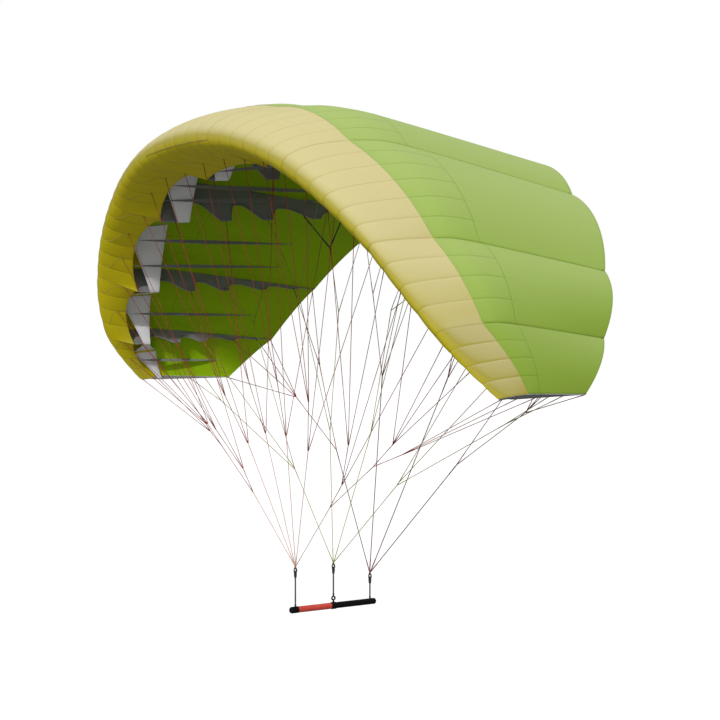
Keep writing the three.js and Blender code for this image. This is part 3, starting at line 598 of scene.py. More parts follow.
GRIP = moulded("bar_red_foam", (0.58, 0.048, 0.028), (0.64, 0.075, 0.047), 0.4, 700.0, spec=0.55)
EYE = moulded("bar_eye_black", (0.002, 0.002, 0.0023), (0.005, 0.005, 0.0056), 0.5, 900.0, spec=0.15)
STEEL = moulded("link_steel", (0.07, 0.066, 0.06), (0.12, 0.115, 0.105), 0.45, 500.0, 1.0, 0.0001, (1, 1, 0.15))


# ------------------------------------------------------------- canopy stations
# Columns across the whole span: each nose bay gets the same shares of its width,
# close together at the bay's seams.
SHARES = (0.0, 0.035, 0.12, 0.28, 0.5, 0.72, 0.88, 0.965)
COLUMNS = []  # cell, t, bay share, distance in bays from a rib
for ci, (_, left, right, bays, _, _) in enumerate(CELLS):
    for k in range(bays):
        for f in SHARES:
            COLUMNS.append((ci, (k + f) / bays, f))
COLUMNS.append((len(CELLS) - 1, 1.0, 0.0))
SECTIONS = [Section(CELLS[c][1], CELLS[c][2], t) for c, t, _ in COLUMNS]
SHARE = np.array([f for _, _, f in COLUMNS])
ON_LINE = (SHARE == 0).astype(float)
ON_RIB = np.array([1.0 if t in (0.0, 1.0) else 0.0 for _, t, _ in COLUMNS])
BAY_WIDTH = np.array([s.width / CELLS[c][3] for s, (c, _, _) in zip(SECTIONS, COLUMNS)])
PUFF = np.sin(np.pi * SHARE) ** 0.85


def normals(grid, like):
    """Unit normals of a grid of points, on the side that like points to."""
    across = np.gradient(grid, axis=1)
    along = np.gradient(grid, axis=0)
    n = unit(np.cross(across, along))
    return n if (n[0] * like).sum() > 0 else -n


def lengths(grid):
    """Cloth coordinates in metres: span along the middle row, chord along each column."""
    mid = grid[len(grid) // 2]
    x = np.concatenate([[0], np.cumsum(np.linalg.norm(np.diff(mid, axis=0), axis=1))])
    y = np.concatenate([np.zeros((1, grid.shape[1])), np.cumsum(np.linalg.norm(np.diff(grid, axis=0), axis=2), axis=0)])
    return np.stack([np.broadcast_to(x, y.shape), y], -1) * MM


OUT = np.array([s.n for s in SECTIONS])
CELL_STEPS = np.array([c for c, _, _ in COLUMNS])

# nose skin: from the top seam round the front to the lower lip
NOSE_ROWS = 52


def nose_curve(s, rows=NOSE_ROWS):
    a = np.linspace(0, 1, 90)
    x0, y0 = s.upper2(s.seam * (1 - a) ** 2)
    x1, y1 = s.lower2(s.lip * np.linspace(0, 1, 60)[1:] ** 1.7)
    x, y = np.concatenate([x0, x1]), np.concatenate([y0, y1])
    arc = np.concatenate([[0], np.cumsum(np.hypot(np.diff(x), np.diff(y)))])
    f = np.linspace(0, arc[-1], NOSE_ROWS)
    x, y = np.interp(f, arc, x), np.interp(f, arc, y)
    for _ in range(ROUND):  # the cloth turns the front edge in a round
        x[1:-1] = 0.25 * x[:-2] + 0.5 * x[1:-1] + 0.25 * x[2:]
        y[1:-1] = 0.25 * y[:-2] + 0.5 * y[1:-1] + 0.25 * y[2:]
    if rows != NOSE_ROWS:
        k = np.linspace(0, NOSE_ROWS - 1, rows)
        x, y = np.interp(k, np.arange(NOSE_ROWS), x), np.interp(k, np.arange(NOSE_ROWS), y)
    return x, y


nose = np.stack([s.at(*nose_curve(s)) for s in SECTIONS], 1)
nose_out = normals(nose, OUT)
row = np.linspace(0, 1, NOSE_ROWS)[:, None]
puff = mix(0.012, 0.03, smooth((row - 0.35) / 0.35)) * BAY_WIDTH * PUFF
puff *= smooth(row / 0.03) * mix(1, 0.55, smooth((row - 0.94) / 0.06))
nose = nose + nose_out * (puff - 0.6 * ON_LINE * smooth(row / 0.04))[..., None]
nose_out = normals(nose, OUT)

# upper skin: from a lap over the nose skin to the trailing edge
STRIP_ROWS, REAR_ROWS = 18, 60
LAP = 6.0
strip_seam = np.array([mix(CELLS[c][4], CELLS[c][5], t) for c, t, _ in COLUMNS])
top_u = []
for s, us in zip(SECTIONS, strip_seam):
    first = s.seam - LAP / s.chord
    front = np.linspace(first, us, STRIP_ROWS)
    rear = mix(us, 1.0, np.concatenate([np.linspace(0, 0.985, REAR_ROWS - 1)[1:], [0.989, 1.0]]))
    rear = np.insert(rear, 0, us + 3.0 / s.chord)
    front = np.insert(front, -1, us - 3.0 / s.chord)
    top_u.append(np.sort(np.concatenate([front, rear])))
top_u = np.array(top_u)  # columns by rows
top = np.stack([s.at(*s.upper2(u)) for s, u in zip(SECTIONS, top_u)], 1)
top_out = normals(top, OUT)
TOP_ROWS = top.shape[0]
STRIP_AT = STRIP_ROWS  # row of the strip's rear seam
u_rel = (top_u.T - strip_seam) / 0.08
fade = 1 - smooth((u_rel + 0.6) / 1.6)  # bays only show in front of the strip seam
lift = 0.014 * BAY_WIDTH * PUFF * fade - 0.5 * ON_LINE * fade
lap_rows = np.arange(TOP_ROWS)[:, None]
lift = lift + 0.5 * (1 - smooth((lap_rows - 0.5) / 1.5))
lift = lift - 0.8 * (np.abs(lap_rows - STRIP_AT) < 0.5)
lift = lift - 1.2 * ON_RIB * np.ones_like(lift)
top = top + top_out * lift[..., None]
top_out = normals(top, OUT)


def seam_mask(rows, cols, line_rows, lines, ribs):
    m = np.zeros((rows, cols))
    m = np.maximum(m, lines)
    m = np.maximum(m, ribs)
    for r, w in line_rows:
        m[r] = np.maximum(m[r], w)
    return m


PUCKER_LINE = np.exp(-np.minimum(SHARE, 1 - SHARE) * BAY_WIDTH / 14.0)
RIB_NEAR = np.array([min(t, 1 - t) for _, t, _ in COLUMNS]) * np.array([s.width for s in SECTIONS])
PUCKER_RIB = np.exp(-RIB_NEAR / 30.0)


def sheet_object(name, grid, out, thick, mats, seam, pucker, first=0.0):
    outer = grid + out * first
    inner = grid - out * (thick - first)
    p, f, slots = thick_sheet(outer, inner)
    uv = np.concatenate([lengths(grid).reshape(-1, 2)] * 2)
    f = outward(p, f)
    # painted light: the upper side is painted paler the more it faces up, and the outer side of the tips too, down to
    # where it turns under; the middle of this range paints shade on the nose's front edge
    up = out[..., 2].ravel()
    outside = np.clip((np.abs(out[..., 0].ravel()) - 0.9) / 0.07, 0, 1) * (out[..., 0].ravel() * grid[..., 0].ravel() > 0)
    if name == "nose_skin":
        up = np.interp(up + 0.3 * np.clip(up / 0.15, 0, 1) * outside, [-0.6, 0.17, 0.75], [0.0, 0.45, 1.0])
    else:
        up = np.interp(up, [-0.6, 0.17, 0.75], [0.0, 0.3, 0.93])
    painted_light_shade_mask = np.concatenate([up, np.zeros(seam.size)])
    o = new_object(
        name, p * MM, f.tolist(), mats, np.where(slots == 1, 1, 0), uv,
        {"seam": np.tile(seam.ravel(), 2), "pucker": np.tile(pucker.ravel(), 2), "painted_light_shade_mask": painted_light_shade_mask},
    )
    return o


def keep(o, slot_name, *nodes):
    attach(o, "root")
    if nodes:
        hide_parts(*nodes)
    return o


nose_seam = seam_mask(
    NOSE_ROWS, len(COLUMNS), [(0, 0.2), (NOSE_ROWS - 1, 0.7)],
    mix(0.55, 0.9, smooth((row - 0.4) / 0.2)) * ON_LINE[None, :], 0.9 * ON_RIB[None, :] * np.ones((NOSE_ROWS, 1)),
)
nose_sheet = sheet_object(
    "nose_skin", nose, nose_out, 1.0, [YELLOW, YELLOW_IN], nose_seam, np.broadcast_to(PUCKER_LINE, nose_seam.shape) * smooth((row - 0.4) / 0.3)
)
keep(nose_sheet, "nose_cloth", *[f"nose_panel_{c[0]}" for c in CELLS])

top_seam = seam_mask(
    TOP_ROWS, len(COLUMNS), [(0, 0.2), (STRIP_AT, 1.0), (TOP_ROWS - 2, 0.5)],
    0.95 * ON_LINE[None, :] * fade, 1.0 * ON_RIB[None, :] * np.ones((TOP_ROWS, 1)),
)
top_sheet = sheet_object("top_skin", top, top_out, 1.0, [GREEN, GREEN_IN], top_seam, np.maximum(PUCKER_RIB, PUCKER_LINE * fade))
keep(top_sheet, "top_cloth", *[f"top_panel_{c[0]}" for c in CELLS])


# ------------------------------------------------------------------- ribs
def under_skin(s, x):
    """Height of the upper edge of a rib at chord positions x."""
    nx, ny = nose_curve(s)
    tip = int(np.argmin(nx))
    bx, by = s.upper2(np.linspace(s.seam, 1, 300)[1:])
    cx, cy = np.concatenate([nx[: tip + 1][::-1], bx]), np.concatenate([ny[: tip + 1][::-1], by])
    tx, ty = np.gradient(cx), np.gradient(cy)
    ln = np.hypot(tx, ty)
    drop = CLOTH + GAP
    return np.interp(x, cx + drop * ty / ln, cy - drop * tx / ln)


def feet_of(name):
    return FEET["tip" if name.endswith("tip") else name[1]]


def arch(q):
    """The free edge between two feet: steep behind the front foot, then a long slope down."""
    up = np.clip(q / 0.24, 0, 1)
    down = np.clip((q - 0.46) / 0.54, 0, 1)
    return (1 - (1 - up) ** 1.8) * (1 - down**1.25)


def free_edge(name, s, x, top_line):
    """Height of the scalloped lower edge of a rib."""
    u = x / s.chord
    y = np.zeros_like(x)
    feet = feet_of(name)
    for k, half in enumerate(FOOT_HALF):
        a = feet[k] + half
        b = feet[k + 1] - FOOT_HALF[k + 1] if k + 1 < len(FOOT_HALF) else 0.992
        inside = (u > a) & (u < b)
        q = np.clip((u - a) / (b - a), 0, 1)
        rise = FLARE_RISE if k + 1 < len(FOOT_HALF) else 0.3
        y = np.where(inside, top_line * rise * arch(q), y)
    return y


def rib_piece(name):
    s = Section(name, name, 0)
    tip = name.endswith("tip")
    if tip:
        outline_u = np.concatenate([s.seam * (1 - np.linspace(0, 1, 40)) ** 2])[::-1]
        x = np.concatenate([outline_u[:-1], np.linspace(s.seam, 0.998, 90)]) * s.chord
        up = np.interp(x, *[np.asarray(v) for v in s.upper2(np.concatenate([outline_u[:-1], np.linspace(s.seam, 1, 90)]))])
        u = x / s.chord
        low = np.where(u < s.lip, s.lower2(np.minimum(u, s.lip))[1], -1.0 * smooth((u - s.lip) / 0.1) * (1 - smooth((u - 0.9) / 0.1)))
        off = (-1 if name[0] == "l" else 1) * np.sign(s.m[0]) * (CLOTH / 2 + GAP)
        up = np.maximum(up, low + 0.4)
    else:
        feet = []
        for foot, half in zip(feet_of(name), FOOT_HALF):
            feet += [foot - half, foot, foot + half]
        us = np.unique(np.concatenate([np.linspace(s.lip + 0.004, 0.994, 240), [f for f in feet if f > s.lip + 0.005]]))
        x = us * s.chord
        up = under_skin(s, x)
        low = free_edge(name, s, x, up)
        up = np.maximum(up, low + 0.9)
        off = 0.0
    q = np.array([0, 0.06, 0.14, 0.3, 0.5, 0.7, 0.86, 0.94, 1.0])
    hem = np.minimum(7.0, 0.3 * (up - low))
    y = low[None, :] + (up - low)[None, :] * q[:, None]
    y[1] = low + hem * 0.5
    y[2] = low + hem
    X = np.broadcast_to(x, y.shape)
    # the free edge of the cloth stands a little out of the plane between the feet
    wave = 0.0 if tip else 3.2 * np.sin(x / s.chord * 37.0 + len(name))[None, :] * (1 - q[:, None]) * q[:, None] * 4 * smooth((1 - x / s.chord) / 0.3)[None, :]
    mid = s.nose + X[..., None] * s.d + y[..., None] * s.n + (off + wave * np.ones_like(y))[..., None] * s.m
    half = np.full(len(q), 0.6)
    half[0] = half[1] = half[2] = 0.6 if tip else 0.95  # hem along the free edge
    outer = mid + half[:, None, None] * s.m
    inner = mid - half[:, None, None] * s.m
    p, f, slots = thick_sheet(outer, inner)
    f = outward(p, f)
    seam = np.zeros(y.shape)
    seam[2] = 0.8
    seam[-1] = 0.6
    uv = np.concatenate([(np.stack([X, y], -1) * MM).reshape(-1, 2)] * 2)
    o = new_object(f"rib_cloth_{name}", p * MM, f.tolist(), [DARK], None, uv, {"seam": np.tile(seam.ravel(), 2), "pucker": np.zeros(2 * seam.size)})
    keep(o, "rib_cloth", f"rib_{name}")
    return o, s, x, low, up


ribs = {name: rib_piece(name) for name in RIB_ORDER}

# ------------------------------------------------------------- diagonal straps
STRAP_FOOT = (0.184, 0.226)
STRAP_HEAD = (0.1, 0.262)
HEAD_DROP = 6.5


def strap_piece(name):
    k = RIB_ORDER.index(name)
    s = Section(name, name, 0)
    q = np.linspace(0, 1, 17)
    right = 1 if s.m[0] > 0 else -1
    side = 3.0 if name.endswith("tip") else CLOTH / 2 + 1

    def foot(off):
        return s.at(mix(STRAP_FOOT[0], STRAP_FOOT[1], q) * s.chord, np.full_like(q, -GAP - STRAP / 2), off)

    def head(ci, t):
        c = Section(CELLS[ci][1], CELLS[ci][2], t)
        x, y = c.upper2(mix(STRAP_HEAD[0], STRAP_HEAD[1], q))
        return c.at(x, y - CLOTH - HEAD_DROP + 4.5)

    stations = []
    steps = np.linspace(0, 1, 15)
    reach_left, reach_right = (REACH_OUT, REACH_IN[name[1:].lstrip("_")]) if name[0] == "l" else (REACH_IN[name[1:].lstrip("_")], REACH_OUT)
    if k in (4, 5):
        reach_left = reach_right = REACH_OUT
    if k > 0:
        a, b = head(k - 1, 1 - reach_left), foot(-right * side)
        stations += [mix(a, b, t) for t in steps]
    if k < len(RIB_ORDER) - 1:
        a, b = foot(right * side), head(k, reach_right)
        stations += [mix(a, b, t) for t in steps]
    grid = np.stack(stations, 1)
    # the long edges draw in between the foot and the skin
    n = grid.shape[1]
    share = np.concatenate([steps] * (n // len(steps)))
    draw = np.sin(np.pi * share)[None, :] * 7.0
    across = unit(grid[-1] - grid[0])
    pull = (1 - 2 * q)[:, None] * draw
    grid = grid + pull[..., None] * across[None]
    out = normals(grid, np.broadcast_to(s.n, grid[0].shape))
    grid = grid - out * (np.sin(np.pi * share)[None, :] * np.sin(np.pi * q)[:, None] * 4.0)[..., None]
    out = normals(grid, np.broadcast_to(s.n, grid[0].shape))
    p, f, _ = thick_sheet(grid + out * 0.5, grid - out * 0.5)
    f = outward(p, f)
    seam = np.zeros(grid.shape[:2])
    seam[1] = seam[-2] = 0.6
    uv = np.concatenate([lengths(grid).reshape(-1, 2)] * 2)
    o = new_object(f"strap_cloth_{name}", p * MM, f.tolist(), [PALE], None, uv, {"seam": np.tile(seam.ravel(), 2), "pucker": np.zeros(2 * seam.size)})
    keep(o, "strap_cloth", f"strap_{name}")
    return o


straps = {name: strap_piece(name) for name in RIB_ORDER}

# ------------------------------------------------- small ribs between the ribs
# Lens-shaped strips of dark cloth from the lower lip back to the upper skin.
# cell, share across at the lip, share across and chord share at the rear end
STRIPS = [
    ("l4", 0.45, 0.37, 0.77),
    ("l3", 0.47, 0.345, 0.82),
    ("l2", 0.27, 0.168, 0.79),
    ("l2", 0.6, 0.42, 0.77),
    ("l1", 0.22, 0.06, 0.75),
    ("l1", 0.47, 0.18, 0.76),
    ("centre", 0.2, 0.2, 0.76),
    ("centre", 0.8, 0.8, 0.76),
]
STRIP_HEIGHT = 22.0
mini = Joined()
MIRROR = {"l": "r"}
strip_rows = []
for cell, a, b, u in STRIPS:
    strip_rows.append((cell, a, b, u))
    if cell != "centre":
        strip_rows.append(("r" + cell[1:], 1 - a, 1 - b, u))
for cell, a, b, u in strip_rows:
    c = next(x for x in CELLS if x[0] == cell)
    s0, s1 = Section(c[1], c[2], a), Section(c[1], c[2], b)
    lx, ly = s0.lower2(np.array([s0.lip]))
    start = s0.at(lx, ly)[0]
    rx, ry = s1.upper2(np.array([u]))
    end = s1.at(rx, ry - CLOTH - 1.5)[0]
    q = np.linspace(0, 1, 40)
    base = start + (end - start) * q[:, None]
    up_dir = unit(s0.n + s1.n)
    half = 0.5 * STRIP_HEIGHT * (np.sin(np.pi * q**0.85) ** 0.9)
    rows5 = np.linspace(-1, 1, 5)
    grid = base[None] + (rows5[:, None] * (half + 0.5))[..., None] * up_dir
    m = unit(np.cross(end - start, up_dir))
    p, f, _ = thick_sheet(grid + 0.5 * m, grid - 0.5 * m)
    f = outward(p, f)
    mini.add(p, f.tolist(), np.concatenate([(np.stack([np.broadcast_to(q * 1.0, (5, 40)), np.broadcast_to(rows5[:, None] * 0.02, (5, 40))], -1)).reshape(-1, 2)] * 2))
mini_ribs = mini.make("small_ribs", [DARK])
keep(mini_ribs, "rib_cloth")


# ---------------------------------------------------------------- bridle lines
BAY_RIBS = [3, 9, 15, 19, 23]


def bay_section(k, side):
    pre = "l" if side < 0 else "r"
    if k <= BAY_RIBS[0]:
        return Section("l0", "r0", 0.5 + side * k / (2 * BAY_RIBS[0]))
    i = next(j for j, b in enumerate(BAY_RIBS) if b >= k)
    outer = f"{pre}_tip" if i == 4 else f"{pre}{i}"
    return Section(f"{pre}{i - 1}", outer, (k - BAY_RIBS[i - 1]) / (BAY_RIBS[i] - BAY_RIBS[i - 1]))


def on_nose(s, p, off):
    """The place on the nose skin nearest to p, moved out by off."""
    x, y = nose_curve(s, 400)
    k = int(np.clip(np.argmin(np.hypot(x - p[0], y - p[1])), 1, len(x) - 2))
    tx, ty = x[k + 1] - x[k - 1], y[k + 1] - y[k - 1]
    ln = math.hypot(tx, ty)
    return x[k] + off * ty / ln, y[k] - off * tx / ln


def anchor(name, side):
    """Where a line is tied to the canopy: a7 is the tab at nose bay 7 from the middle, r2c a foot of a rib
    (letters b to f from the front back, g the rear corner), r1v and r1w points on its free edge."""
    pre = "l" if side < 0 else "r"
    if name[0] == "a":
        s = bay_section(int(name[1:]), side)
        return s.at(*on_nose(s, s.lower2(LINE_STOP * s.lip), 1.6)), np.array(s.d), -s.n
    tip = name.startswith("tip")
    rib = f"{pre}_tip" if tip else f"{pre}{name[1]}"
    s = Section(rib, rib, 0)
    if name[-1] in V_ENDS:
        x = np.array([V_ENDS[name[-1]] * s.chord])
        y = free_edge(rib, s, x, under_skin(s, x))[0]
        return s.at(x[0], y - 6.0), np.array(s.d), -s.n
    off = (CLOTH / 2 + GAP) * side * np.sign(s.m[0]) if tip else 0.0
    if name == "tipa":
        return s.at(*on_nose(s, s.lower2(0.06), 3.0), off), np.array(s.d), -s.n
    k = "bcdefg".index(name[-1])
    u = feet_of(rib)[k]
    drop = 2.6 if tip else GAP + STRAP + 1.4 if k == 0 else 1.4
    return s.at(u * s.chord, -drop, off), np.array(s.d), -s.n


V_ENDS = {"v": 0.64, "w": 0.79}
# forks of the right half: what each hangs from, where it is (mm), the points it holds
FORKS = {
    "fa": ("front", (345, -222, 488), ()),
    "x": ("fa", (442, -223, 590), ("r2b", "r2c")),
    "x1": ("x", (595, -287, 764), ("a15", "a13", "a11")),
    "y": ("fa", (676, -218, 682), ()),
    "y1": ("y", (819, -222, 777), ("a21", "a19", "a17", "r3b", "r3c")),
    "y2": ("y", (849, -194, 740), ("tipa", "tipb", "tipc")),
    "fb": ("front", (272, -286, 720), ("r1b", "r1c")),
    "fb1": ("fb", (379, -346, 929), ("a9", "a7", "a5")),
    "fc": ("front", (94, -292, 775), ("r0b", "r0c")),
    "fc1": ("fc", (132, -357, 1008), ("a3", "a1")),
    "ca": ("centre", (441, 51, 575), ("r3d",)),
    "ca1": ("ca", (1200, 41, 871), ("tipd", "tipe")),
    "ca2": ("ca", (1009, 131, 1269), ("r2d", "r2e")),
    "cb": ("centre", (174, 86, 772), ()),
    "cb1": ("cb", (222, 162, 1314), ("r0e",)),
    "cb2": ("cb", (465, 84, 1412), ("r1d", "r0d")),
    "cv": ("cb1", (705, 402, 1650), ("r1v", "r1w")),
    "ra": ("rear", (500, 316, 652), ()),
    "ra2": ("ra", (941, 339, 894), ("tipg", "r3e", "r3f", "r3g")),
    "ra3": ("ra", (823, 412, 1056), ("r2f", "r2g")),
    "rb": ("rear", (268, 433, 1015), ("r0f", "r0g")),
    "rb1": ("rb", (520, 540, 1415), ("r1f", "r1g")),
}
CONNECT = {"front": (-194.4, 172 + 18.9), "centre": (0.0, 174 + 18.9), "rear": (192.6, 113 + 18.9)}
SPREAD, PITCH = 2.6, 2.3
MAIN_R = {"front": 1.35, "centre": 1.5, "rear": 2.0}
LINE_R = {"front": 1.3, "centre": 1.45, "rear": 1.65}
HEAVY_R = 3.2


def side_by_side(fork, ends, pitch=PITCH):
    dirs = [unit(p - fork) for p in ends]
    w = dirs[-1] - dirs[0]
    ahead = unit(np.mean(dirs, 0))
    w = unit(w - ahead * w.dot(ahead))
    half = (len(ends) - 1) / 2
    return [fork + w * ((i - half) * pitch) for i in range(len(ends))]


def line_path(a, b, r):
    """A taut line with a spliced, slightly thicker stretch at each end."""
    length = np.linalg.norm(b - a)
    splice = min(60.0, 0.25 * length)
    s = np.unique(np.concatenate([[0, 3, splice, splice + 8, length - splice - 8, length - splice, length - 3, length], np.linspace(splice + 8, length - splice - 8, 4)]))
    path = a + (b - a) * (s / length)[:, None]
    rad = np.where((s <= splice) | (s >= length - splice), 1.25 * r, r)
    rad[0] = rad[-1] = 0.8 * r
    return path, rad


def wound(p, d, turns, r, high, wire):
    """A small coil of line round direction d at p: the knot of a fork."""
    w = unit(np.cross(d, [0.3, 0.2, 0.9]))
    v = np.cross(d, w)
    n = int(8 * turns) + 1
    ang = np.linspace(0, 2 * np.pi * turns, n)
    return p + r * (np.cos(ang)[:, None] * w + np.sin(ang)[:, None] * v) + d * np.linspace(-high, high, n)[:, None], wire


LINE_LENGTHS = {}
line_objects = {}
tabs = Joined()
for source in ("front", "centre", "rear"):
    for side in (-1, 1):
        J = Joined()
        y, z = CONNECT[source]
        start = np.array([side * SPREAD, y, z])
        at_fork = {k: np.array([side * v[1][0], v[1][1], v[1][2]], float) for k, v in FORKS.items()}
        total = 0.0

        def run(a, b, r, slot):
            J.add_tube(*line_path(a, b, r), sides=8, slot=slot)
            return np.linalg.norm(b - a)

        def climb(key, below):
            """The lines that leave a fork, side by side on it, and the forks above it."""
            here = at_fork[key]
            above = [k for k, v in FORKS.items() if v[0] == key]
            ends = [at_fork[k] for k in above] + [anchor(n, side)[0] for n in FORKS[key][2]]
            heavy = key == "cv"
            starts = side_by_side(here, ends, 6.8 if heavy else PITCH)
            out = 0.0
            for p, q, k in zip(starts, ends, above + [None] * len(FORKS[key][2])):
                out += run(p, q, HEAVY_R if heavy else LINE_R[source], 3 if heavy else 2)
                if k == "cv":  # the stem of the V is heavy at its end
                    J.add_tube(*line_path(q - unit(q - p) * 75.0, q, 0.75 * HEAVY_R), sides=8, slot=3)
                if k:
                    out += climb(k, here)
            J.add_tube(*wound(here, unit(here - below), 2, 1.6, 2.4, 0.8), sides=6, slot=1)
            return out

        for key, (below, _, _) in FORKS.items():
            if below == source:
                total += run(start, at_fork[key], MAIN_R[source], 0)
                total += climb(key, start)
        # whipped sleeve where the lines leave the link
        sleeve = np.array([start + np.array([side * 0.3 * q, 0, 11 * q - 2.5]) for q in np.linspace(0, 1, 9)])
        J.add_tube(sleeve, np.array([1.5, 1.9, 2.1, 2.1, 2.0, 1.9, 1.8, 1.6, 1.2]), sides=10, slot=1)
        # its half of the loop through the link
        bight = [(2.6, -1.0), (4.6, -3.4), (5.4, -6.6), (4.6, -9.8), (2.6, -11.8), (1.2, -12.3)]
        J.add_tube(np.array([(side * a, y, z + b) for a, b in bight]), 2.2, sides=8, slot=1)
        name = f"bridle_{source}_{'left' if side < 0 else 'right'}"
        o = J.make(name, [LINE[source], SLEEVE[source], UPPER[source], KNOT])
        keep(o, {"front": "line_salmon", "centre": "line_lime", "rear": "line_mauve"}[source], f"lines_{source}_{'left' if side < 0 else 'right'}")
        line_objects[name] = o
        LINE_LENGTHS[name] = total * MM

# sewn loops of webbing that the lines are tied to
for _, _, held in FORKS.values():
    for side in (-1, 1):
        for n in held:
            p, d, down = anchor(n, side)
            width = 7.0
            q = np.linspace(0, 1, 6)
            across = unit(np.cross(d, down))
            spine = p[None] - down * (9.0 * (1 - q))[:, None] + down * (2.0 * q)[:, None]
            grid = np.stack([spine - d * width / 2 * (1 - 0.45 * q)[:, None], spine + d * width / 2 * (1 - 0.45 * q)[:, None]], 0)
            g, f, _ = thick_sheet(grid + across * 1.1, grid - across * 1.1)
            tabs.add(g, outward(g, f).tolist())
tab_object = tabs.make("line_tabs", [WEBBING], flat=True)
keep(tab_object, "leader_rope")

# ------------------------------------------------------------------ stitching
thread_y, thread_g = Joined(), Joined()
for j in np.nonzero(ON_LINE)[0]:
    for off in ((-2, 2) if ON_RIB[j] else (0,)):
        jj = min(max(j + (0 if off == 0 else int(np.sign(off))), 0), nose.shape[1] - 1)
        stitches(thread_y, nose[2:-1, jj], nose_out[2:-1, jj], pitch=5.0)
    last = STRIP_AT
    if ON_RIB[j]:
        for dj in (-1, 1):
            jj = j + dj
            if 0 <= jj < top.shape[1]:
                stitches(thread_g, top[1:-1, jj], top_out[1:-1, jj], pitch=4.5)
    else:
        stitches(thread_g, top[3:last, j], top_out[3:last, j], pitch=5.0)
for r in (1, 2):
    stitches(thread_g, top[r], top_out[r], pitch=4.5)
stitches(thread_g, top[STRIP_AT - 1], top_out[STRIP_AT - 1], pitch=4.5)
stitches(thread_g, top[-2], top_out[-2], pitch=4.5)
stitches(thread_y, nose[-2], nose_out[-2], pitch=4.5)
ty = thread_y.make("stitching_nose", [THREAD_Y], flat=True)
tg = thread_g.make("stitching_top", [THREAD_G], flat=True)
keep(ty, "nose_cloth")
keep(tg, "top_cloth")

# Folded seams on the underside of the nose: from each tab forward to the next bay line out.
LINE_COLUMNS = np.nonzero(ON_LINE)[0]
MIDDLE = len(LINE_COLUMNS) // 2
vee = Joined()
for k in range(1, 23, 2):
    for side in (-1, 1):
        j0, j1 = LINE_COLUMNS[MIDDLE + side * k], LINE_COLUMNS[MIDDLE + side * (k + 1)]
        tab = anchor(f"a{k}", side)[0]
        r0 = int(np.argmin(np.linalg.norm(nose[:, j0] - tab, axis=1)))
        front = int(np.argmin((nose[:, j0] - SECTIONS[j0].nose) @ SECTIONS[j0].d))
        r1 = mix(front, r0, 0.4)
        q = np.linspace(0, 1, 14)
        cols, rows = mix(float(j0), float(j1), q), mix(float(r0), float(r1), q**0.9)
        c0, b0 = np.minimum(cols.astype(int), nose.shape[1] - 2), np.minimum(rows.astype(int), NOSE_ROWS - 2)
        fc, fr = (cols - c0)[:, None], (rows - b0)[:, None]
        sample = lambda g: mix(mix(g[b0, c0], g[b0, c0 + 1], fc), mix(g[b0 + 1, c0], g[b0 + 1, c0 + 1], fc), fr)
        vee.add_tube(sample(nose) + unit(sample(nose_out)) * 0.15, 1.1, sides=6)
vee_seams = vee.make("nose_vee_seams", [THREAD_Y])
keep(vee_seams, "nose_cloth")

# ------------------------------------------------------------ closed slit seam
# Two folded lips along the front edge of the middle cell.
centre_cols = [j for j, (c, t, _) in enumerate(COLUMNS) if CELLS[c][0] == "centre"] + [
    next(j for j, (c, t, _) in enumerate(COLUMNS) if CELLS[c][0] == "r1" and t == 0)
]
zip_joined = Joined()
ZIP_Z = 112.0  # height over the chord line
zip_path, zip_up = [], []
for j in centre_cols:
    s = SECTIONS[j]
    h = (nose[:, j] - s.nose) @ s.n
    level = ZIP_Z + 0.5 * BILLOW_NOSE * s.width * s.belly
    first = int(np.argmax(h < level))
    w = (level - h[first]) / (h[first - 1] - h[first])
    zip_path.append(mix(nose[first, j], nose[first - 1, j], w))
    zip_up.append(mix(nose_out[first, j], nose_out[first - 1, j], w))
zip_path, zip_up = np.array(zip_path), np.array(zip_up)
for lip_side in (-1, 1):
    zip_joined.add_tube(zip_path + zip_up * 0.2 + np.array([0, 0, 1.2 * lip_side]), 1.1, sides=6)
zip_seam = zip_joined.make("nose_slit_seam", [THREAD_Y])
keep(zip_seam, "nose_cloth")

# ------------------------------------------------------------------- hand bar
BAR_R, CAP_R = 13.8, 14.6
BAR_FRONT, BAR_REAR = -223.0, 223.0
CAP_END, GRIP_END, COLLAR_END = -181.0, -12.5, 12.5


def round_end(y, r, direction, n=10):
    a = np.linspace(0.06, 0.5 * np.pi, n)
    return [(y + direction * 11 * (1 - math.cos(w)), r * math.sin(w) ** 0.8) for w in a]


def bar_piece(name, stations, mat, slot_name, sides=48, flutes=0, depth=0.0):
    p, f, uv = turned(stations, sides, 1)
    if flutes:
        ang = np.arctan2(p[:, 2], p[:, 0])
        rad = np.hypot(p[:, 0], p[:, 2])
        cut = depth * (0.5 + 0.5 * np.cos(flutes * ang)) ** 3 * smooth((rad - 0.85 * BAR_R) / (0.1 * BAR_R))
        p[:, 0] *= 1 - cut / np.maximum(rad, 1e-6)
        p[:, 2] *= 1 - cut / np.maximum(rad, 1e-6)
    o = new_object(name, p * MM, f, [mat], None, uv)
    keep(o, slot_name, name.replace("_finish", ""))
    return o


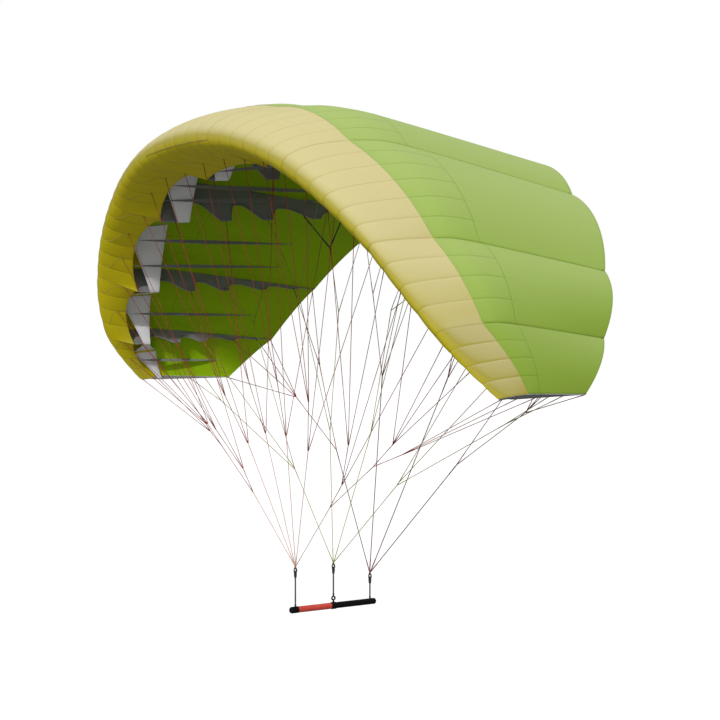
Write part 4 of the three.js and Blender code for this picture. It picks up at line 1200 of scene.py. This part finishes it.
cap = round_end(BAR_FRONT, CAP_R, 1) + [(CAP_END - 30, CAP_R), (CAP_END - 8, CAP_R), (CAP_END - 2.5, CAP_R), (CAP_END - 1.2, CAP_R - 0.3), (CAP_END - 0.4, CAP_R - 1.2)]
bar_piece("bar_cap_front_finish", cap, RUBBER, "bar_black")
grip = [(CAP_END + 0.4, BAR_R - 1.4), (CAP_END + 1.0, BAR_R - 0.5), (CAP_END + 2.6, BAR_R)]
grip += [(y, BAR_R + 0.12 * math.sin(y * 0.9)) for y in np.linspace(CAP_END + 6, GRIP_END - 6, 60)]
grip += [(GRIP_END - 2.6, BAR_R), (GRIP_END - 1.0, BAR_R - 0.5), (GRIP_END - 0.4, BAR_R - 1.4)]
bar_piece("bar_grip_front_finish", grip, GRIP, "bar_red", 40)
collar = [(GRIP_END + 0.1, CAP_R - 2), (GRIP_END + 0.5, CAP_R - 0.6), (GRIP_END + 2.2, CAP_R + 1.0), (GRIP_END + 4, CAP_R + 1.2), (-3, CAP_R + 1.2), (-2.2, CAP_R + 0.7), (2.2, CAP_R + 0.7), (3, CAP_R + 1.2), (COLLAR_END - 4, CAP_R + 1.2), (COLLAR_END - 2.2, CAP_R + 1.0), (COLLAR_END - 0.5, CAP_R - 0.6), (COLLAR_END - 0.1, CAP_R - 2)]
bar_piece("bar_collar_finish", collar, RUBBER, "bar_black")
rear = [(COLLAR_END + 0.4, BAR_R - 1.4), (COLLAR_END + 1.2, BAR_R - 0.4), (COLLAR_END + 3, BAR_R)] + [(y, BAR_R) for y in np.linspace(COLLAR_END + 8, BAR_REAR - 42, 30)]
rear += [(BAR_REAR - 40, BAR_R), (BAR_REAR - 39, BAR_R - 0.5), (BAR_REAR - 38, BAR_R), (BAR_REAR - 24, BAR_R)] + round_end(BAR_REAR, BAR_R, -1)[::-1]
bar_piece("bar_grip_rear_finish", rear, RUBBER, "bar_black", 72, 18, 0.9)

EYE_R, EYE_WIRE, EYE_Z = 11.5, 7.2, 33.0
eye = Joined()
w = np.linspace(0, 2 * np.pi, 41)[:-1]
ring_r = EYE_R - EYE_WIRE / 2
ring_pts, ring_faces, ring_uv = [], [], []
for i, a in enumerate(w):
    for j in range(12):
        b = 2 * np.pi * j / 12
        rr = ring_r + EYE_WIRE / 2 * math.cos(b)
        ring_pts.append([EYE_WIRE / 2 * math.sin(b), rr * math.cos(a), EYE_Z + rr * math.sin(a)])
        ring_uv.append([j / 12, i / 40 * 0.05])
for i in range(40):
    for j in range(12):
        ring_faces.append([i * 12 + j, i * 12 + (j + 1) % 12, ((i + 1) % 40) * 12 + (j + 1) % 12, ((i + 1) % 40) * 12 + j])
rp = np.array(ring_pts)
eye.add(rp, outward(rp, np.array(ring_faces)).tolist(), ring_uv)
foot_z = CAP_R + 1.2 + GAP
sp, sf, suv = turned([(foot_z, 4.6), (foot_z + 0.6, 4.9), (foot_z + 2.0, 4.8), (foot_z + 2.8, 4.0), (foot_z + 4.2, 3.4), (EYE_Z - EYE_R + 1.4, 3.1), (EYE_Z - EYE_R + 2.2, 2.6)], 24, 2)
eye.add(sp, sf, suv)
eye_o = eye.make("bar_eye_finish", [EYE])
keep(eye_o, "bar_eye", "bar_eye")

# leaders: a short rope with a knot under its link
LEADERS = [("front", -194.4, CAP_R, 173.0), ("centre", 0.0, EYE_Z + EYE_R, 175.0), ("rear", 192.6, BAR_R, 114.0)]
ROPE_R, LINK_H, LINK_W, LINK_WIRE = 3.6, 14.5, 9.2, 2.6
for name, y, foot, link in LEADERS:
    top_z = link - LINK_H - GAP
    J = Joined()
    z = np.concatenate([[foot + GAP], np.linspace(foot + 4, top_z - 14, 14)])
    path = np.stack([np.zeros_like(z), np.full_like(z, y), z], 1)
    J.add_tube(path, np.where(np.arange(len(z)) == 0, 3.1, ROPE_R), sides=16, slot=0)
    # whipping at the foot of the rope
    zz = np.linspace(foot + GAP + 0.6, foot + 9, 60)
    a = np.linspace(0, 14 * np.pi, 60)
    J.add_tube(np.stack([3.9 * np.cos(a), y + 3.9 * np.sin(a), zz], 1), 0.6, sides=6, slot=1)
    # overhand knot
    t = np.linspace(0, 2 * np.pi, 81)
    kx = np.sin(t) + 2 * np.sin(2 * t)
    ky = np.cos(t) - 2 * np.cos(2 * t)
    kz = -np.sin(3 * t)
    knot = np.stack([kz * 2.6, y + kx * 1.75, top_z - 9.0 + ky * 2.0], 1)
    J.add_tube(knot[:-1], 3.0, sides=10, slot=1)
    zk = np.linspace(top_z - 20, top_z - 0.8, 8)
    J.add_tube(np.stack([np.zeros(8), np.full(8, y), zk], 1), np.array([3.3, 4.4, 5.6, 6.0, 5.8, 5.0, 4.0, 3.0]), sides=12, slot=1)
    # the loop of the rope through the link
    low = link - LINK_H
    bight = np.array([(-4.4, top_z - 5), (-6.2, low - 1), (-6.7, low + 3.5), (-5.7, low + 7.6), (-3.2, low + 10.0), (0, low + 10.8), (3.2, low + 10.0), (5.7, low + 7.6), (6.7, low + 3.5), (6.2, low - 1), (4.4, top_z - 5)])
    J.add_tube(np.stack([bight[:, 0], np.full(len(bight), y), bight[:, 1]], 1), 3.5, sides=10, slot=1)
    o = J.make(f"leader_{name}_finish", [ROPE, KNOT])
    keep(o, "leader_rope", f"leader_{name}")
    # link
    L = Joined()
    wv = np.linspace(0, 2 * np.pi, 49)[:-1]
    pts, faces, uv = [], [], []
    for i, aa in enumerate(wv):
        cz = (LINK_W - LINK_WIRE) * math.sin(aa)
        cz += math.copysign(1, cz) * (LINK_H - LINK_W) * min(1, abs(cz) / (LINK_W - LINK_WIRE)) if abs(cz) > 1e-9 else 0
        cy = (LINK_W - LINK_WIRE) * math.cos(aa)
        ty_, tz_ = -math.sin(aa) * (LINK_W - LINK_WIRE), math.cos(aa) * (LINK_H - LINK_WIRE)
        nn = np.array([0, tz_, -ty_])
        nn = nn / np.linalg.norm(nn)
        for j in range(12):
            b = 2 * np.pi * j / 12
            pts.append(np.array([0, cy + y, cz + link]) + LINK_WIRE * (math.cos(b) * nn + math.sin(b) * np.array([1.0, 0, 0])))
            uv.append([j / 12, i / 48 * 0.07])
    for i in range(48):
        for j in range(12):
            faces.append([i * 12 + j, i * 12 + (j + 1) % 12, ((i + 1) % 48) * 12 + (j + 1) % 12, ((i + 1) % 48) * 12 + j])
    lp = np.array(pts)
    L.add(lp, outward(lp, np.array(faces)).tolist(), uv)
    # screw gate on one side of the link
    g, gf, guv = turned([(-5.2, 2.5), (-4.8, 3.0), (4.8, 3.0), (5.2, 2.5)], 6, 2)
    g = g + np.array([0, y + LINK_W - LINK_WIRE, link])
    L.add(g, gf, guv)
    lo = L.make(f"link_{name}_finish", [STEEL])
    keep(lo, "link_metal", f"link_{name}")

# ------------------------------------------------------------- floor and light
floor_mesh = bpy.data.meshes.new("floor")
side = 60.0
FLOOR_Z = -1.3
floor_mesh.from_pydata([(-side, -side, FLOOR_Z), (side, -side, FLOOR_Z), (side, side, FLOOR_Z), (-side, side, FLOOR_Z)], [], [(0, 1, 2, 3)])
floor = bpy.data.objects.new("floor", floor_mesh)
bpy.context.scene.collection.objects.link(floor)
fm, fnt, fb = material("floor_white")
fb.inputs["Base Color"].default_value = (0.02, 0.02, 0.02, 1)
fb.inputs["Roughness"].default_value = 0.9
fb.inputs["Emission Color"].default_value = (1, 1, 1, 1)
fb.inputs["Emission Strength"].default_value = 1.0
floor_mesh.materials.append(fm)
floor.visible_diffuse = False
floor.visible_glossy = False
floor.visible_transmission = False
floor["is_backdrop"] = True

world = bpy.data.worlds.new("studio")
bpy.context.scene.world = world
world.use_nodes = True
wn = world.node_tree
bg = wn.nodes["Background"]
coord = wn.nodes.new("ShaderNodeTexCoord")
sepw = wn.nodes.new("ShaderNodeSeparateXYZ")
wn.links.new(coord.outputs["Generated"], sepw.inputs[0])
ramp = wn.nodes.new("ShaderNodeValToRGB")
span = wn.nodes.new("ShaderNodeMapRange")
span.inputs["From Min"].default_value = -1
span.inputs["From Max"].default_value = 1
wn.links.new(sepw.outputs[2], span.inputs["Value"])
wn.links.new(span.outputs[0], ramp.inputs["Fac"])
el = ramp.color_ramp.elements
el[0].position, el[0].color = 0.0, (0.25, 0.25, 0.25, 1)
el[1].position, el[1].color = 1.0, (1.0, 1.0, 1.0, 1)
for pos, v in ((0.47, 0.265), (0.58, 0.36), (0.8, 0.83)):
    e = el.new(pos)
    e.color = (v, v, v, 1)
path = wn.nodes.new("ShaderNodeLightPath")
white = wn.nodes.new("ShaderNodeMix")
white.data_type = "RGBA"
wn.links.new(path.outputs["Is Camera Ray"], white.inputs[0])
wn.links.new(ramp.outputs[0], white.inputs[6])
white.inputs[7].default_value = (1.0, 1.0, 1.0, 1)
wn.links.new(white.outputs[2], bg.inputs[0])
bg.inputs[1].default_value = 1.0

key = bpy.data.lights.new("key", "SUN")
key.energy = 1.85
key.angle = math.radians(5)
key_o = bpy.data.objects.new("key", key)
key_o.rotation_euler = Vector((-0.6, 0.6434, -0.57)).to_track_quat("-Z", "Y").to_euler()
bpy.context.scene.collection.objects.link(key_o)
fill = bpy.data.lights.new("fill", "SUN")
fill.energy = 0.35
fill.angle = math.radians(60)
fill_o = bpy.data.objects.new("fill", fill)
fill_o.rotation_euler = Vector((-0.848, 0.53, -0.05)).to_track_quat("-Z", "Y").to_euler()
bpy.context.scene.collection.objects.link(fill_o)

# --------------------------------------------------------------------- camera
cam = bpy.data.cameras.new("camera")
cam.sensor_width = 36.0
cam.lens = 36.0 * 1433 / 720
cam.clip_end = 200
cam_o = bpy.data.objects.new("camera", cam)
cam_o.location = (5.468, -3.277, 1.1835)
az, pitch = math.radians(58), math.atan(20 / 1433)
look = Vector((-math.sin(az) * math.cos(pitch), math.cos(az) * math.cos(pitch), -math.sin(pitch)))
cam_o.rotation_euler = look.to_track_quat("-Z", "Y").to_euler()
bpy.context.scene.collection.objects.link(cam_o)
bpy.context.scene.camera = cam_o
bpy.context.scene.view_settings.view_transform = "Standard"
bpy.context.scene.view_settings.look = "None"

low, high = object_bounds()
